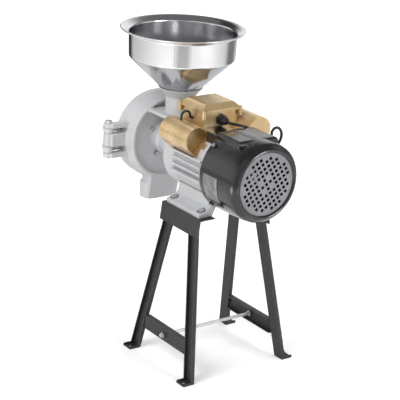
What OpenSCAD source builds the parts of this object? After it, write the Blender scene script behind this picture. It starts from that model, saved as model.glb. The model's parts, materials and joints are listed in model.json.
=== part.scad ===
// Electric grain mill: a motor on a four-legged stand drives a disc mill under a steel hopper.
// Millimetres. X runs along the motor shaft with the fan at +X, Z is up, the floor is Z 0.

/* [Stand] */
// Height of the rail tops above the floor
stand_height = 385; // [340:1:430]
// Length of each rail
rail_length = 156; // [150:1:200]
// Width of the flange that carries the motor feet
rail_flange = 43; // [40:1:50]
// Height of the outer face of a rail
rail_face = 44; // [35:1:60]
// Distance from the middle to the outer face of a rail
rail_reach = 101; // [99:1:110]
// Thickness of the stand's sheet steel
stand_sheet = 3; // [2:0.5:4]
// Outward lean of each leg frame in degrees
frame_lean = 6.4; // [3:0.1:10]
// Width of a leg channel
leg_width = 30; // [24:1:36]
// Depth of a leg channel
leg_depth = 10; // [8:1:14]
// Distance of a leg from the middle of its rail, at the top
leg_top_reach = 44; // [35:1:55]
// Distance of a foot from the middle along the shaft
foot_reach = 115; // [95:1:135]
// Length of a foot plate beyond the leg
foot_plate = 27; // [22:1:35]
// Height of the lips beside a foot plate
foot_lip = 6.5; // [5:0.5:9]
// Diameter of the hole in a foot plate
foot_hole = 8; // [6:0.5:10]
// Height of the middle of a brace above the floor
brace_height = 75; // [60:1:120]
// Height of a brace channel
brace_web = 35; // [28:1:45]
// Depth of a brace channel
brace_flange = 14; // [10:1:18]
// Distance from the middle to the outer face of a brace
brace_reach = 131; // [128:1:133]
// Diameter of the tie rod
tie_rod_size = 8; // [6:1:10]
// Width across the flats of the tie rod nuts
tie_nut_width = 13; // [11:1:17]
// Thickness of the tie rod nuts
tie_nut_height = 6.5; // [5:0.5:8]

/* [Motor frame] */
// Height of the shaft above the rails
shaft_height = 105; // [102:1:112]
// Outer radius of the motor frame
frame_radius = 84; // [82:0.5:86]
// Bore radius of the motor frame
frame_bore = 70; // [68:0.5:72]
// Distance of the mill end of the motor frame from the middle
frame_front = 83; // [80:1:86]
// Length of the motor frame
frame_length = 149; // [145:1:155]
// Half width over the cooling fins
fin_reach = 92; // [88:0.5:92]
// Thickness of a cooling fin
fin_thickness = 4; // [3:0.5:5]
// Distance from one cooling fin to the next
fin_pitch = 16.5; // [14:0.5:18]
// Lower edge of the top fin above the shaft
fin_top = 25; // [22:0.5:28]
// Length of the cooling fins
fin_length = 117; // [100:1:125]
// Outer half width of the motor feet
foot_pad_outer = 95.5; // [92:0.5:98]
// Inner half width of the motor feet
foot_pad_inner = 60; // [55:1:65]
// Length of a motor foot along the shaft
foot_pad_length = 133; // [130:1:140]
// Thickness of a motor foot
foot_pad_height = 10; // [8:0.5:12]
// Distance of a foot bolt from the middle along the shaft
bolt_reach_x = 54; // [50:1:56]
// Distance of a foot bolt from the middle across the shaft
bolt_reach_y = 81; // [79:0.5:83]
// Diameter of the foot bolts
foot_bolt_size = 8; // [6:1:10]
// Length of the flange at the mill end of the motor
drive_flange_length = 22; // [20:1:26]
// Radius of the motor shaft
shaft_radius = 12.5; // [11:0.5:14]
// Outer radius of the ball bearings
bearing_radius = 26; // [24:0.5:28]
// Width of the ball bearings
bearing_width = 15; // [13:1:16]
// Outer radius of the rotor
rotor_radius = 45.4; // [44:0.1:45.5]
// Inner radius of the stator
stator_bore = 46; // [45.8:0.1:47]
// Length of the stator core
core_length = 80; // [70:1:90]
// Radius of the cooling fan
fan_radius = 80; // [70:1:85]
// Length of the cooling fan blades
fan_length = 32; // [25:1:36]

/* [Fan cover] */
// Outer radius of the fan cover
cover_radius = 97; // [97:0.5:100]
// Length of the fan cover
cover_length = 127; // [120:1:132]
// Distance of the fan cover's open rim from the middle
cover_start = 61; // [60:0.5:62]
// Wall thickness of the fan cover
cover_wall = 2; // [1.5:0.1:2.2]
// Radius of the opening in the end of the fan cover
cover_opening = 74; // [72:0.5:76]
// Distance between the holes of the grille
grille_pitch = 12.2; // [11.5:0.1:12.4]
// Side of a square hole in the grille
grille_hole = 7.4; // [5:0.1:7.5]
// Thickness of the grille
grille_thickness = 2; // [1.5:0.1:2.2]
// Turn of the grille in degrees
grille_turn = 30; // [0:1:45]

/* [Terminal box] */
// Height of the box floor above the shaft
box_seat = 79; // [78:0.5:80]
// Length of the terminal box
box_length = 87; // [80:1:90]
// Half width of the terminal box
box_half_width = 47; // [42:0.5:47]
// Height of the terminal box
box_height = 44; // [38:1:50]
// Wall thickness of the terminal box
box_wall = 2.5; // [2:0.1:3]
// Overhang of the lid beyond the box
lid_overhang = 5.5; // [4:0.5:6]
// Thickness of the edge of the lid
lid_edge = 6; // [5:0.5:8]
// Height of the raised middle of the lid
lid_rise = 12; // [8:1:15]
// Inset of the raised middle from the edge of the lid
lid_slope = 12.5; // [9:0.5:15]
// Length of the cable gland outside the box
gland_length = 26; // [24:1:30]
// Width of the cable gland across its flats
gland_width = 24; // [20:1:26]

/* [Capacitor covers] */
// Distance of the flat under a capacitor cover from the shaft
cover_seat = 73.5; // [72:0.5:75]
// Half width of a capacitor cover
cap_half_width = 31.5; // [29:0.5:32]
// Height of the straight sides of the left cover
left_cap_side = 31; // [26:1:35]
// Height of the straight sides of the right cover
right_cap_side = 39; // [34:1:40]
// Sideways shift of the left cover on the motor
left_cap_shift = 8; // [7:0.5:8.5]
// Length of a capacitor cover
cap_length = 110; // [105:1:112]
// Distance of the left cover's mill end from the middle
left_cap_start = 87; // [85:1:89]
// Distance of the right cover's mill end from the middle
right_cap_start = 62; // [61:1:65]
// Wall thickness of a capacitor cover
cap_wall = 2; // [1.5:0.1:2.5]
// Radius of a capacitor
capacitor_radius = 22; // [18:0.5:25]
// Length of a capacitor
capacitor_length = 78; // [60:1:80]
// Radius of the lead between the left cover and the terminal box
lead_radius = 2.2; // [1.8:0.1:2.8]

/* [Mill head] */
// Length of the feed tube between motor and mill
tube_length = 96; // [92:1:102]
// Outer radius of the feed tube
tube_radius = 37; // [35:0.5:39]
// Bore radius of the feed tube
tube_bore = 30; // [28.5:0.5:31]
// Radius of the boss in the recess of the mill
boss_radius = 40; // [38:0.5:41]
// Length of the boss in the recess of the mill
boss_length = 21; // [18:1:24]
// Thickness of the back wall of the mill
back_wall = 6; // [5:0.5:8]
// Depth of the grinding chamber behind the door seam
chamber_depth = 27; // [26:0.5:30]
// Radius of the grinding chamber
chamber_radius = 98; // [96:0.5:99]
// Outer radius of the mill at the door seam
case_radius = 110; // [109:0.5:113]
// Outer radius of the mill at its back edge
case_back_radius = 101.3; // [100:0.1:104]
// Length of the outer wall of the mill
case_length = 45; // [42:1:48]
// Radius of the recess in the back of the mill
recess_radius = 94; // [90:0.5:95]
// Depth of the door
door_depth = 28; // [26:1:34]
// Outer radius of the door
door_radius = 108.5; // [107:0.5:110]
// Thickness of the door plate
door_plate = 6; // [5:0.5:8]
// Radius of the grinding discs
disc_radius = 78; // [70:0.5:82]
// Thickness of a grinding disc
disc_thickness = 12; // [10:0.5:12]
// Gap between the grinding discs at rest
disc_gap = 2; // [1.6:0.1:2.4]
// Thickness of the plate that carries the turning disc
holder_plate = 8; // [6:0.5:8]
// Outer radius of the feed screw
auger_radius = 27; // [25:0.5:27.5]
// Pitch of the feed screw
auger_pitch = 36; // [30:1:45]
// Width of the flour chute
chute_width = 92; // [80:1:96]
// Depth of the flour chute
chute_depth = 48; // [46:1:54]
// Height of the lower part of the flour chute
chute_height = 41; // [35:1:50]
// Distance of the chute mouth below the shaft
chute_drop = 159; // [150:1:170]
// Corner radius of the flour chute
chute_corner = 20; // [12:1:21]
// Wall thickness of the flour chute
chute_wall = 4; // [3:0.5:5]

/* [Door hinge and clamp] */
// Distance of the hinge axis from the shaft
hinge_reach = 145; // [140:1:152]
// Radius of the hinge knuckles
knuckle_radius = 12.5; // [11:0.5:14]
// Radius of the hinge pin
hinge_pin_radius = 5; // [4:0.5:6]
// Distance of the clamp pivot from the shaft
clamp_reach = 128; // [126:0.5:134]
// Radius of the swing bolt
swing_bolt_radius = 5; // [4:0.5:5]
// Length of the swing bolt from its pivot
swing_bolt_length = 56; // [52:1:64]
// Radius of the clamp knob
clamp_knob_radius = 19; // [16:0.5:22]
// Radius of the disc adjusting screw
adjuster_radius = 10; // [8:0.5:11]
// Radius of the handwheel on the adjusting screw
handwheel_radius = 45; // [38:1:55]
// Thickness of the handwheel
handwheel_height = 15; // [12:1:18]

/* [Hopper] */
// Distance of the hopper axis from the mill end flange of the motor
hopper_offset = 61; // [58:1:64]
// Radius of the hopper rim
rim_radius = 150; // [135:1:165]
// Radius of the hopper's upright band
band_radius = 127; // [115:1:132]
// Total height of the mill above the shaft
rim_rise = 284; // [260:1:320]
// Height of the upright band below the rim
band_height = 69.5; // [50:0.5:80]
// Height of the bottom of the cone above the shaft
cone_foot_rise = 121.7; // [119:0.1:125]
// Radius of the hopper spout
spout_radius = 30.5; // [28:0.5:31]
// Length of the hopper spout
spout_length = 15; // [10:1:18]
// Sheet thickness of the hopper
hopper_sheet = 1.5; // [1:0.1:2]
// Radius of the flared collar under the hopper
collar_radius = 55; // [52:0.5:58]
// Height of the top of the collar above the shaft
collar_rise = 142; // [138:1:146]
// Outer radius of the neck below the collar
neck_radius = 35; // [34:0.5:37]

/* [Power cord] */
// Diameter of the power cord
cord_size = 7; // [6:0.1:7]
// Number of turns in the coil
coil_turns = 5; // [4:1:5]
// Radius of the innermost turn
coil_inner = 31; // [30:0.5:32]
// Distance between neighbouring turns
coil_pitch = 7.5; // [7.5:0.1:8]

/* [Hidden] */
$fn = 96;
// Overrun of the cuts
over = 1;
// Clearance between pieces that move against each other
clear = 0.3;
// Clearance between pieces that are fitted together
seat = 0.05;
// Number of points in a full turn of the coil and sides of its tube
coil_rings = 24;
coil_sides = 6;
// Number of sides of the free cord
cord_sides = 8;
small_round = 48;

// Heights
axis_height = stand_height + shaft_height;

// Stations along the shaft
frame_x = -frame_front;
frame_end_x = frame_x + frame_length;
flange_x = frame_x - drive_flange_length;
boss_x = flange_x - tube_length;
recess_x = boss_x - boss_length;
wall_x = recess_x - back_wall;
seam_x = wall_x - chamber_depth;
case_back_x = seam_x + case_length;
door_x = seam_x - door_depth;
cover_end_x = cover_start + cover_length;
hopper_x = flange_x - hopper_offset;

// Stand
drop_lean = stand_height / cos(frame_lean);
splay = atan((foot_reach - leg_top_reach) / drop_lean);
rail_bolt_hole = 0.5 + foot_bolt_size / 2;
leg_start = 2 * stand_sheet;
leg_gap = stand_sheet;
web_inside = rail_reach + stand_height * tan(frame_lean) - (leg_gap + leg_depth) / cos(frame_lean);
foot_hole_place_share = 0.63;
foot_hole_y = web_inside + stand_sheet + foot_plate * foot_hole_place_share;
rod_hole_radius = tie_rod_size / 2 + clear;
rod_overhang = 12;

// Motor feet, seen along the shaft, from the shaft's middle: distance out and down
skirt_inner = 50;
skirt_knee = 63;
skirt_knee_drop = 75;
skirt_bend = 66;
skirt_bend_drop = 83;
skirt_toe = 77;
skirt_toe_drop = 89;
skirt_top_drop = 58;
pad_drop = shaft_height - foot_pad_height;
washer_height = 1.6;
washer_radius = 8;
bolt_head_height = 5.3;
bolt_flats = 13;
bolt_nut_height = 6.5;
spot_radius = 10;

// Frame details
shield_plate = 6;
shield_boss = 34;
shield_boss_length = 18;
lug_width = 22;
lug_length = 14;
lug_screw_place = 6;
lug_screw_radius = 2.5;
cover_boss_radius = 6;
cover_boss_rise = 3;
screw_head_radius = 4.5;
screw_head_height = 3;
bearing_wall = 10;
flange_web = 7;
drive_hub_radius = 58;
winding_inner = 48;
winding_outer = 66;
winding_length = 22;
fan_x = 98;
fan_hub_radius = 20;
fan_disc = 3;
fan_blade = 3;
fan_blades = 6;
shaft_end_x = fan_x + fan_length + 2 * fan_disc;
shaft_tip = 9;
pad_end_x = 147;
pad_half = 55;
pad_top = 95;
pad_round = 9;
tongue_x = 1.5;
tongue_side = 16;
tongue_top = 88;
tongue_round = 4;
cover_shares = [[0, 1], [0.46, 0.995], [0.78, 0.98], [0.9, 0.96], [0.94, 0.918], [0.967, 0.866], [0.992, 0.845], [1, 0.814], [0.992, 0.789]];
lip_depth = 4;
ledge_width = 4;
grille_rows = [[-5, 1], [-4, 3], [-3, 4], [-2, 4], [-1, 5], [0, 5], [1, 5], [2, 4], [3, 4], [4, 3], [5, 1]];

// Terminal box
box_x = frame_x - lid_slope / 3;
ear_radius = 6;
ear_height = 13;
ear_shift = 1.5;
ear_screw_radius = 2.5;
wire_hole = 12;
gland_nut = 7;
gland_dome_radius = 9.5;
gland_nose_radius = 5.5;
gland_dome_length = 11;
gland_height_share = 0.55;
gland_z = axis_height + box_seat + box_height * gland_height_share;
gland_bore = cord_size / 2 + seat;
block_length = 40;
block_width = 22;
block_height = 16;
stud_radius = 2;
stud_height = 6;

// Capacitor covers
tab_length = 12;
tab_width = 14;
tab_screw_radius = 2;
tab_screw_depth = 3;
end_wall_inset = 24;
capacitor_rest = cover_seat + capacitor_radius + seat;
flat_half = 41;
lead_x = -45;
lead_bend = 12;
lead_turn = 6;
lead_rise = 8;

// Mill head
case_rim_length = 7;
case_rim_step = 2;
tube_end = 20;
seal_pocket = 12;
seal_radius = 22;
shaft_hole = shaft_radius + 1.5;
tube_flange_radius = 50;
tube_flange_length = 10;
flange_bolt_circle = 43;
disc_bolt_circle = 47;
disc_bolts_count = 4;
disc_bolt_turn = 57;
m6_radius = 3;
m6_flats = 10;
m6_head = 4;
ledge_low = 72;
ledge_high = 80;
ledge_half = 58;
ledge_start = 3;
ledge_length = 83;
rib_thickness = 6;
furrows = 16;
furrow_width = 3;
furrow_depth = 1.2;
hub_radius = 20;
hub_nose = 22;
holder_radius_step = 6;
holder_hub_length = 8;
nose_length = 2;
holder_x = seam_x - clear;
turning_disc_x = wall_x - disc_thickness - disc_gap - disc_thickness;
holder_plate_x = turning_disc_x - holder_plate;
hub_x = holder_plate_x - holder_hub_length;
nose_x = hub_x - nose_length;
feed_travel = 1.25;
shaft_start_x = holder_plate_x - nose_length;
pad_radius = adjuster_radius - 0.2;
pad_gap = 0.4;
pad_length = 9.6;
thread_clear = 0.05;
door_boss_radius = 26;
door_boss_length = 15;
lock_nut_height = 14;
lock_nut_flats = 32;
screw_tail = 5;
handwheel_gap = 18;
wheel_rim = 6.5;
spoke_radius = 5;
wheel_hub = 17;
door_chamfer = 8;
door_edge = 2.5;
auger_core = 14;
auger_root = 5;
auger_tip = 2.4;
auger_start = wall_x - disc_thickness + 2;
auger_end = flange_x - tube_end - 3;

// Hinge, with the heights of its knuckles above the shaft
hinge_x = seam_x + 2;
knuckle_top = 46;
knuckle_1 = 33;
knuckle_2 = 21;
knuckle_3 = -13;
knuckle_4 = -28;
knuckle_5 = -41;
case_arm_end = 97;
arm_depth = 20;
door_arm_end = 98;
pin_head = 5;
pin_head_radius = 8;
pin_tail = 3;

// Clamp
clamp_x = seam_x + 12;
ear_inner_gap = 6;
ear_plate = 7;
ear_half_depth = 9;
swing_eye_radius = 8.5;
swing_pin_radius = 4;
clamp_face = 32.6;
clamp_washer_height = 2;
clamp_washer_radius = 11;
clamp_nut_height = 14;
clamp_lobes = 5;
clamp_lobe_radius = 6;
lug_outer_x = door_x + 8;
door_lug_depth = 16;
door_lug_start = 104;
door_lug_end = 133;
door_lug_half = 14;
slot_half = swing_bolt_radius + 0.6;
slot_start = 122;

// Hopper
rim_lip = 12;
rim_roll = 3;
cone_top_z = axis_height + rim_rise - band_height;
rim_z = axis_height + rim_rise;
cone_foot_z = axis_height + cone_foot_rise;
collar_z = axis_height + collar_rise;
cone_slope = (cone_top_z - cone_foot_z) / (band_radius - spout_radius);
neck_top_z = collar_z - 24;
chute_low_z = axis_height - chute_drop;
chute_top_z = chute_low_z + chute_height;
chute_mouth_x = recess_x - chute_depth / 2;
chute_neck_half = chute_width / 2 - chute_wall;
collar_lip = 2.5;
hopper_clear = 0.4;

// Coil of the stored cord: its middle, its two layers and where it starts
cord_radius = cord_size / 2;
coil_outer = coil_inner + coil_pitch * coil_turns / 2;
coil_x = -25;
coil_z = axis_height - 41.3;
coil_near_y = 96.2;
coil_far_y = coil_near_y + coil_pitch;
coil_angle = 150;
coil_steps = coil_turns * coil_rings;
tie_angle = 370;
tie_width = 8;
tie_sheet = 1.2;

// Route of the power cord from the gland to the coil
cord_points = [[26, 0, 593.2], [31, 0.3, 593.2], [37.2, 1.8, 593], [43.2, 5.2, 592.5], [48.4, 10.4, 591.6], [52, 17, 590.2], [54, 25, 588], [54.5, 33, 584.8], [54.5, 42, 580], [54.5, 51, 573.5], [54.5, 59.5, 565.5], [54.8, 67.5, 556], [55.8, 74, 546.5], [56.8, 79.3, 537.5], [57.2, 84.5, 529], [57.2, 91.3, 521.8], [56.6, 99.8, 518], [54.5, 108.3, 519], [51, 115, 524.3], [46.5, 119.3, 532.2], [42.2, 121.3, 541], [38.6, 123, 550], [36, 127.2, 558], [34.6, 134, 563], [34.2, 142, 563.6], [34.4, 149.4, 560], [34.8, 154.6, 553.2], [35, 156.6, 544.5], [34.6, 155.6, 535], [33, 152.4, 526], [29.8, 147.6, 517.6], [25, 142, 510.2], [19, 136, 503.8], [12, 130, 498.4], [4, 124.2, 493.8], [-4.5, 119, 489.8], [-13.5, 114.7, 485.6], [-22.5, 111, 480.8], [-31.8, 108, 478], [-40.2, 105.7, 475], [-47.5, 104.1, 469.7], [-51.847, 103.7, 464.2]];

// Route of its tail from the coil to the plug
tail_points = [[-51.847, 96.2, 464.2], [-54.7, 95.9, 457.8], [-55.4, 94.6, 448.7], [-53.7, 92.6, 439.9], [-49.3, 90.2, 431.7], [-43.2, 87.8, 425.5], [-35.1, 85.6, 421.1], [-28.1, 84.3, 419.6], [-21.5, 83.5, 419.8], [-12, 83.4, 420.5]];

// Plug
plug_x = -12;
plug_y = 83.4;
plug_z = 420.5;
relief_length = 22;
relief_start_radius = 4.6;
relief_end_radius = 7;
plug_body = 32;
plug_width = 34;
plug_thickness = 16.5;
plug_pin_radius = 2;
plug_pin_length = 19;
plug_pin_pitch = 9.5;

// Spiral out in the far layer and in again in the near one, at the turn u
function coil_radius(u) = coil_inner + coil_pitch * min(u, coil_turns - u);
function coil_climb(u) = min(1, max(0, 2 * (u - coil_turns / 2) + 1 / 2));
function smooth(s) = s * s * (3 - 2 * s);
function coil_y(u) = coil_far_y - coil_pitch * smooth(coil_climb(u));
function coil_point(u) = [coil_x + coil_radius(u) * cos(coil_angle + 360 * u), coil_y(u), coil_z + coil_radius(u) * sin(coil_angle + 360 * u)];
coil_body = [for (i = [0 : coil_steps]) coil_point(i / coil_rings)];
function unit(v) = v / norm(v);
coil_path = coil_body;

// Frames that follow a path: each normal is the last one made square to the new run
function run(p, i) = unit(p[min(i + 1, len(p) - 1)] - p[max(i - 1, 0)]);
function square_to(n, t) = unit(n - (n * t) * t);
function normals(p, n, i = 0) = i >= len(p) ? [] : let (m = square_to(n, run(p, i))) concat([m], normals(p, m, i + 1));
function ring_points(c, n, b, r, sides) = [for (k = [0 : sides - 1]) c + r * (n * cos(360 * k / sides) + b * sin(360 * k / sides))];

// Tube along a path, with flat ends square to it
module tube(p, r, sides, first) {
  ns = normals(p, first);
  count = len(p);
  pts = [for (i = [0 : count - 1]) each ring_points(p[i], ns[i], cross(run(p, i), ns[i]), r, sides)];
  sides_faces = [for (i = [0 : count - 2], k = [0 : sides - 1]) each [[i * sides + k, (i + 1) * sides + k, i * sides + (k + 1) % sides], [(i + 1) * sides + k, (i + 1) * sides + (k + 1) % sides, i * sides + (k + 1) % sides]]];
  start_faces = [for (k = [1 : sides - 2]) [0, k, k + 1]];
  end_faces = [for (k = [1 : sides - 2]) [(count - 1) * sides, (count - 1) * sides + k + 1, (count - 1) * sides + k]];
  polyhedron(points = pts, faces = concat(sides_faces, start_faces, end_faces), convexity = 10);
}

// Least gap of the coil to itself, measured on its points between turns
coil_gap = min([for (i = [0 : coil_steps], j = [i + coil_rings / 2 : 1 : coil_steps]) norm(coil_path[i] - coil_path[j])]) - cord_size;
echo(coil_gap = coil_gap);

// Colours
charcoal = [0.2, 0.2, 0.22];
silver = [0.72, 0.73, 0.74];
gold = [0.8, 0.62, 0.35];
black = [0.08, 0.08, 0.09];
zinc = [0.7, 0.72, 0.75];
steel = [0.82, 0.83, 0.85];
copper = [0.75, 0.42, 0.22];
stone = [0.55, 0.55, 0.56];

// Turned shapes on the shaft
module rod_x(x0, x1, r) {
  translate([x0, 0, axis_height]) rotate([0, 90, 0]) cylinder(h = x1 - x0, r = r);
}
module cone_x(x0, x1, r0, r1) {
  translate([x0, 0, axis_height]) rotate([0, 90, 0]) cylinder(h = x1 - x0, r1 = r0, r2 = r1);
}
module ring_x(x0, x1, ro, ri) {
  difference() {
    rod_x(x0, x1, ro);
    rod_x(x0 - over, x1 + over, ri);
  }
}
// Plain cylinder along X, Y or Z from a point
module pin_x(p, h, r) {
  translate(p) rotate([0, 90, 0]) cylinder(h = h, r = r, $fn = small_round);
}
module pin_y(p, h, r) {
  translate(p) rotate([-90, 0, 0]) cylinder(h = h, r = r, $fn = small_round);
}
module pin_z(p, h, r) {
  translate(p) cylinder(h = h, r = r, $fn = small_round);
}
// Hexagon across flats
module hex(flats, h) {
  cylinder(h = h, r = flats / 2 / cos(30), $fn = 6);
}
// Outline in Y and Z carried along X
module along_x(x0, x1) {
  translate([x0, 0, 0]) rotate([90, 0, 90]) linear_extrude(x1 - x0) children();
}
// Outline in X and Z carried across Y
module across_y(half) {
  translate([0, half, 0]) rotate([90, 0, 0]) linear_extrude(2 * half) children();
}
// Block between two corners
module block(a, b) {
  translate(a) cube(b - a);
}
module rounded(w, h, r) {
  union() {
    square([w - 2 * r, h], center = true);
    square([w, h - 2 * r], center = true);
    for (x = [-1, 1], y = [-1, 1]) translate([x * (w / 2 - r), y * (h / 2 - r)]) circle(r = r);
  }
}
module mirrored(side) {
  if (side > 0) mirror([0, 1, 0]) children();
  else children();
}

// Stand: the shapes are drawn for the left side, at -Y, and mirrored for the right
module leaning() {
  translate([0, -rail_reach, stand_height]) rotate([-frame_lean, 0, 0]) children();
}
module rail(side) {
  s = (1 - sin(frame_lean)) / cos(frame_lean) * stand_sheet;
  inner = [cos(frame_lean) * stand_sheet, -sin(frame_lean) * stand_sheet];
  down = [-sin(frame_lean), -cos(frame_lean)];
  color(charcoal) mirrored(side) difference() {
    translate([0, -rail_reach, stand_height]) along_x(-rail_length / 2, rail_length / 2)
      polygon([[0, 0], [rail_flange, 0], [rail_flange, -stand_sheet], inner + s * down, inner + rail_face * down, rail_face * down]);
    for (x = [-bolt_reach_x, bolt_reach_x])
      pin_z([x, -bolt_reach_y, stand_height - stand_sheet - over], stand_sheet + 2 * over, rail_bolt_hole);
  }
}
// Solid envelope of a leg, deep enough to cut what meets it
module leg_envelope(s) {
  leaning() translate([s * leg_top_reach, 0, 0]) rotate([0, -s * splay, 0])
    block([-leg_width / 2 - seat, -brace_flange - leg_depth, -drop_lean * 1.2], [leg_width / 2 + seat, leg_depth + 2 * brace_flange, 0]);
}
module leg(side, s) {
  foot_y = -(web_inside + stand_sheet / cos(frame_lean));
  color(charcoal) mirrored(side) difference() {
    union() {
      difference() {
        leaning() translate([s * leg_top_reach, leg_gap, 0]) rotate([0, -s * splay, 0])
          difference() {
            block([-leg_width / 2, 0, -drop_lean * 1.2], [leg_width / 2, leg_depth, -leg_start]);
            block([-leg_width / 2 + stand_sheet, -over, -drop_lean * 1.2 - over], [leg_width / 2 - stand_sheet, leg_depth - stand_sheet, over]);
          }
        translate([-2 * foot_reach, -2 * web_inside, -stand_height]) cube([4 * foot_reach, 2 * web_inside, stand_height]);
      }
      translate([s * foot_reach, foot_y, 0]) {
        block([-leg_width / 2, -foot_plate, 0], [leg_width / 2, stand_sheet / cos(frame_lean), stand_sheet]);
        for (k = [-1, 1]) translate([k * (leg_width - stand_sheet) / 2, 0, 0])
          block([-stand_sheet / 2, -foot_plate, 0], [stand_sheet / 2, 0, foot_lip]);
      }
    }
    pin_z([s * foot_reach, -foot_hole_y, -over], foot_lip + 2 * over, foot_hole / 2);
  }
}
module brace(side) {
  low = brace_height - brace_web / 2;
  high = brace_height + brace_web / 2;
  color(charcoal) mirrored(side) difference() {
    block([-foot_reach, -brace_reach, low], [foot_reach, -brace_reach + brace_flange, high]);
    block([-foot_reach - over, -brace_reach + stand_sheet, low + stand_sheet], [foot_reach + over, -brace_reach + brace_flange + over, high - stand_sheet]);
    for (s = [-1, 1]) {
      leg_envelope(s);
      leaning() translate([s * (leg_top_reach + leg_width), 0, 0]) rotate([0, -s * splay, 0])
        block([-leg_width / 2, -brace_flange - leg_depth, -drop_lean * 1.2], [leg_width / 2, leg_depth + 2 * brace_flange, 0]);
      leaning() translate([s * (leg_top_reach + 2 * leg_width), 0, 0]) rotate([0, -s * splay, 0])
        block([-leg_width / 2 - over, -brace_flange - leg_depth, -drop_lean * 1.2], [leg_width / 2, leg_depth + 2 * brace_flange, 0]);
    }
    pin_y([0, -brace_reach - over, brace_height], stand_sheet + 2 * over, rod_hole_radius);
  }
}
module tie_rod() {
  reach = brace_reach + rod_overhang;
  color(zinc) pin_y([0, -reach, brace_height], 2 * reach, tie_rod_size / 2);
}
module tie_rod_nuts() {
  color(zinc) for (side = [0, 1], out = [0, 1]) mirrored(side)
    translate([0, out ? -brace_reach - tie_nut_height : -brace_reach + stand_sheet, brace_height]) rotate([-90, 0, 0]) difference() {
      hex(tie_nut_width, tie_nut_height);
      translate([0, 0, -over]) cylinder(h = tie_nut_height + 2 * over, r = tie_rod_size / 2 + seat, $fn = small_round);
    }
}
module at_foot_bolts() {
  for (x = [-1, 1], y = [-1, 1]) translate([x * bolt_reach_x, y * bolt_reach_y, 0]) children();
}
module motor_foot_bolts() {
  top = stand_height + foot_pad_height;
  shank = foot_pad_height + stand_sheet + washer_height + bolt_nut_height + 2 * over;
  color(zinc) at_foot_bolts() {
    translate([0, 0, top]) cylinder(h = washer_height, r = washer_radius, $fn = small_round);
    translate([0, 0, top + washer_height]) hex(bolt_flats, bolt_head_height);
    translate([0, 0, top - shank]) cylinder(h = shank + over, r = foot_bolt_size / 2, $fn = small_round);
  }
}
module motor_foot_nuts() {
  low = stand_height - stand_sheet;
  color(zinc) at_foot_bolts() difference() {
    union() {
      translate([0, 0, low - washer_height]) cylinder(h = washer_height, r = washer_radius, $fn = small_round);
      translate([0, 0, low - washer_height - bolt_nut_height]) hex(bolt_flats, bolt_nut_height);
    }
    translate([0, 0, low - 2 * spot_radius]) cylinder(h = 3 * spot_radius, r = foot_bolt_size / 2 + seat, $fn = small_round);
  }
}

// Space that a capacitor cover and its flat take on the motor, in the cover's own directions
module on_motor(turn) {
  translate([0, 0, axis_height]) rotate([turn, 0, 0]) children();
}
module cap_flat(x0, turn, shift) {
  on_motor(turn) {
    block([x0 - seat, -cap_half_width - shift - seat, cover_seat], [x0 + cap_length + seat, cap_half_width - shift + seat, 2 * frame_radius]);
    block([x0 - tab_length - seat, -shift - tab_width / 2 - seat, cover_seat], [x0 + cap_length + tab_length + seat, -shift + tab_width / 2 + seat, 2 * frame_radius]);
    for (x = [x0 - tab_length / 2, x0 + cap_length + tab_length / 2])
      translate([x, -shift, cover_seat - tab_screw_depth]) cylinder(h = tab_screw_depth + over, r = tab_screw_radius + seat, $fn = small_round);
  }
}
module both_cap_flats() {
  cap_flat(-left_cap_start, 45, left_cap_shift);
  cap_flat(-right_cap_start, -45, 0);
}
module box_flat() {
  block([box_x - seat, -flat_half, axis_height + box_seat], [box_x + box_length + seat, flat_half, axis_height + 2 * frame_radius]);
}

module motor_frame() {
  color(silver) difference() {
    union() {
      rod_x(frame_x, frame_end_x, frame_radius);
      for (side = [0, 1]) mirrored(side) {
        translate([0, 0, axis_height]) along_x(-foot_pad_length / 2, min(frame_end_x, foot_pad_length / 2))
          polygon([[-skirt_inner, -skirt_top_drop], [-skirt_knee, -skirt_top_drop], [-skirt_knee, -skirt_knee_drop], [-skirt_bend, -skirt_bend_drop], [-skirt_toe, -skirt_toe_drop], [-foot_pad_outer, -pad_drop], [-foot_pad_outer, -shaft_height], [-foot_pad_inner, -shaft_height], [-skirt_inner, -pad_drop + foot_pad_height]]);
        for (k = [0 : 3])
          block([frame_end_x - fin_length - lug_length + over, -fin_reach, axis_height + fin_top - k * fin_pitch], [frame_end_x - lug_length + over, 0, axis_height + fin_top - k * fin_pitch + fin_thickness]);
      }
    }
    rod_x(frame_x - over, frame_end_x + over, frame_bore);
    ring_x(cover_start - clear, frame_end_x + over, cover_radius + clear, cover_radius - cover_wall - clear);
    both_cap_flats();
    box_flat();
    pin_z([box_x + box_length / 2, 0, axis_height], 2 * frame_radius, wire_hole);
    at_foot_bolts() {
      translate([0, 0, stand_height - over]) cylinder(h = 2 * spot_radius, r = foot_bolt_size / 2 + clear, $fn = small_round);
      translate([0, 0, stand_height + foot_pad_height]) cylinder(h = 2 * spot_radius, r = spot_radius, $fn = small_round);
    }
  }
}
module drive_end_flange() {
  color(silver) difference() {
    rod_x(flange_x, frame_x, frame_radius);
    // open inside, with a hub for the bearing
    difference() {
      rod_x(flange_x + flange_web, frame_x + over, frame_bore);
      rod_x(flange_x, frame_x, drive_hub_radius - bearing_wall - bearing_wall);
    }
    rod_x(frame_x - bearing_width - seat, frame_x + over, bearing_radius + seat);
    rod_x(flange_x - over, frame_x, shaft_hole);
    cap_flat(-left_cap_start, 45, left_cap_shift);
    box_flat();
    at_flange_bolts() translate([0, 0, -flange_web - over]) cylinder(h = flange_web + 3 * over, r = m6_radius + seat, $fn = small_round);
  }
}
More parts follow.
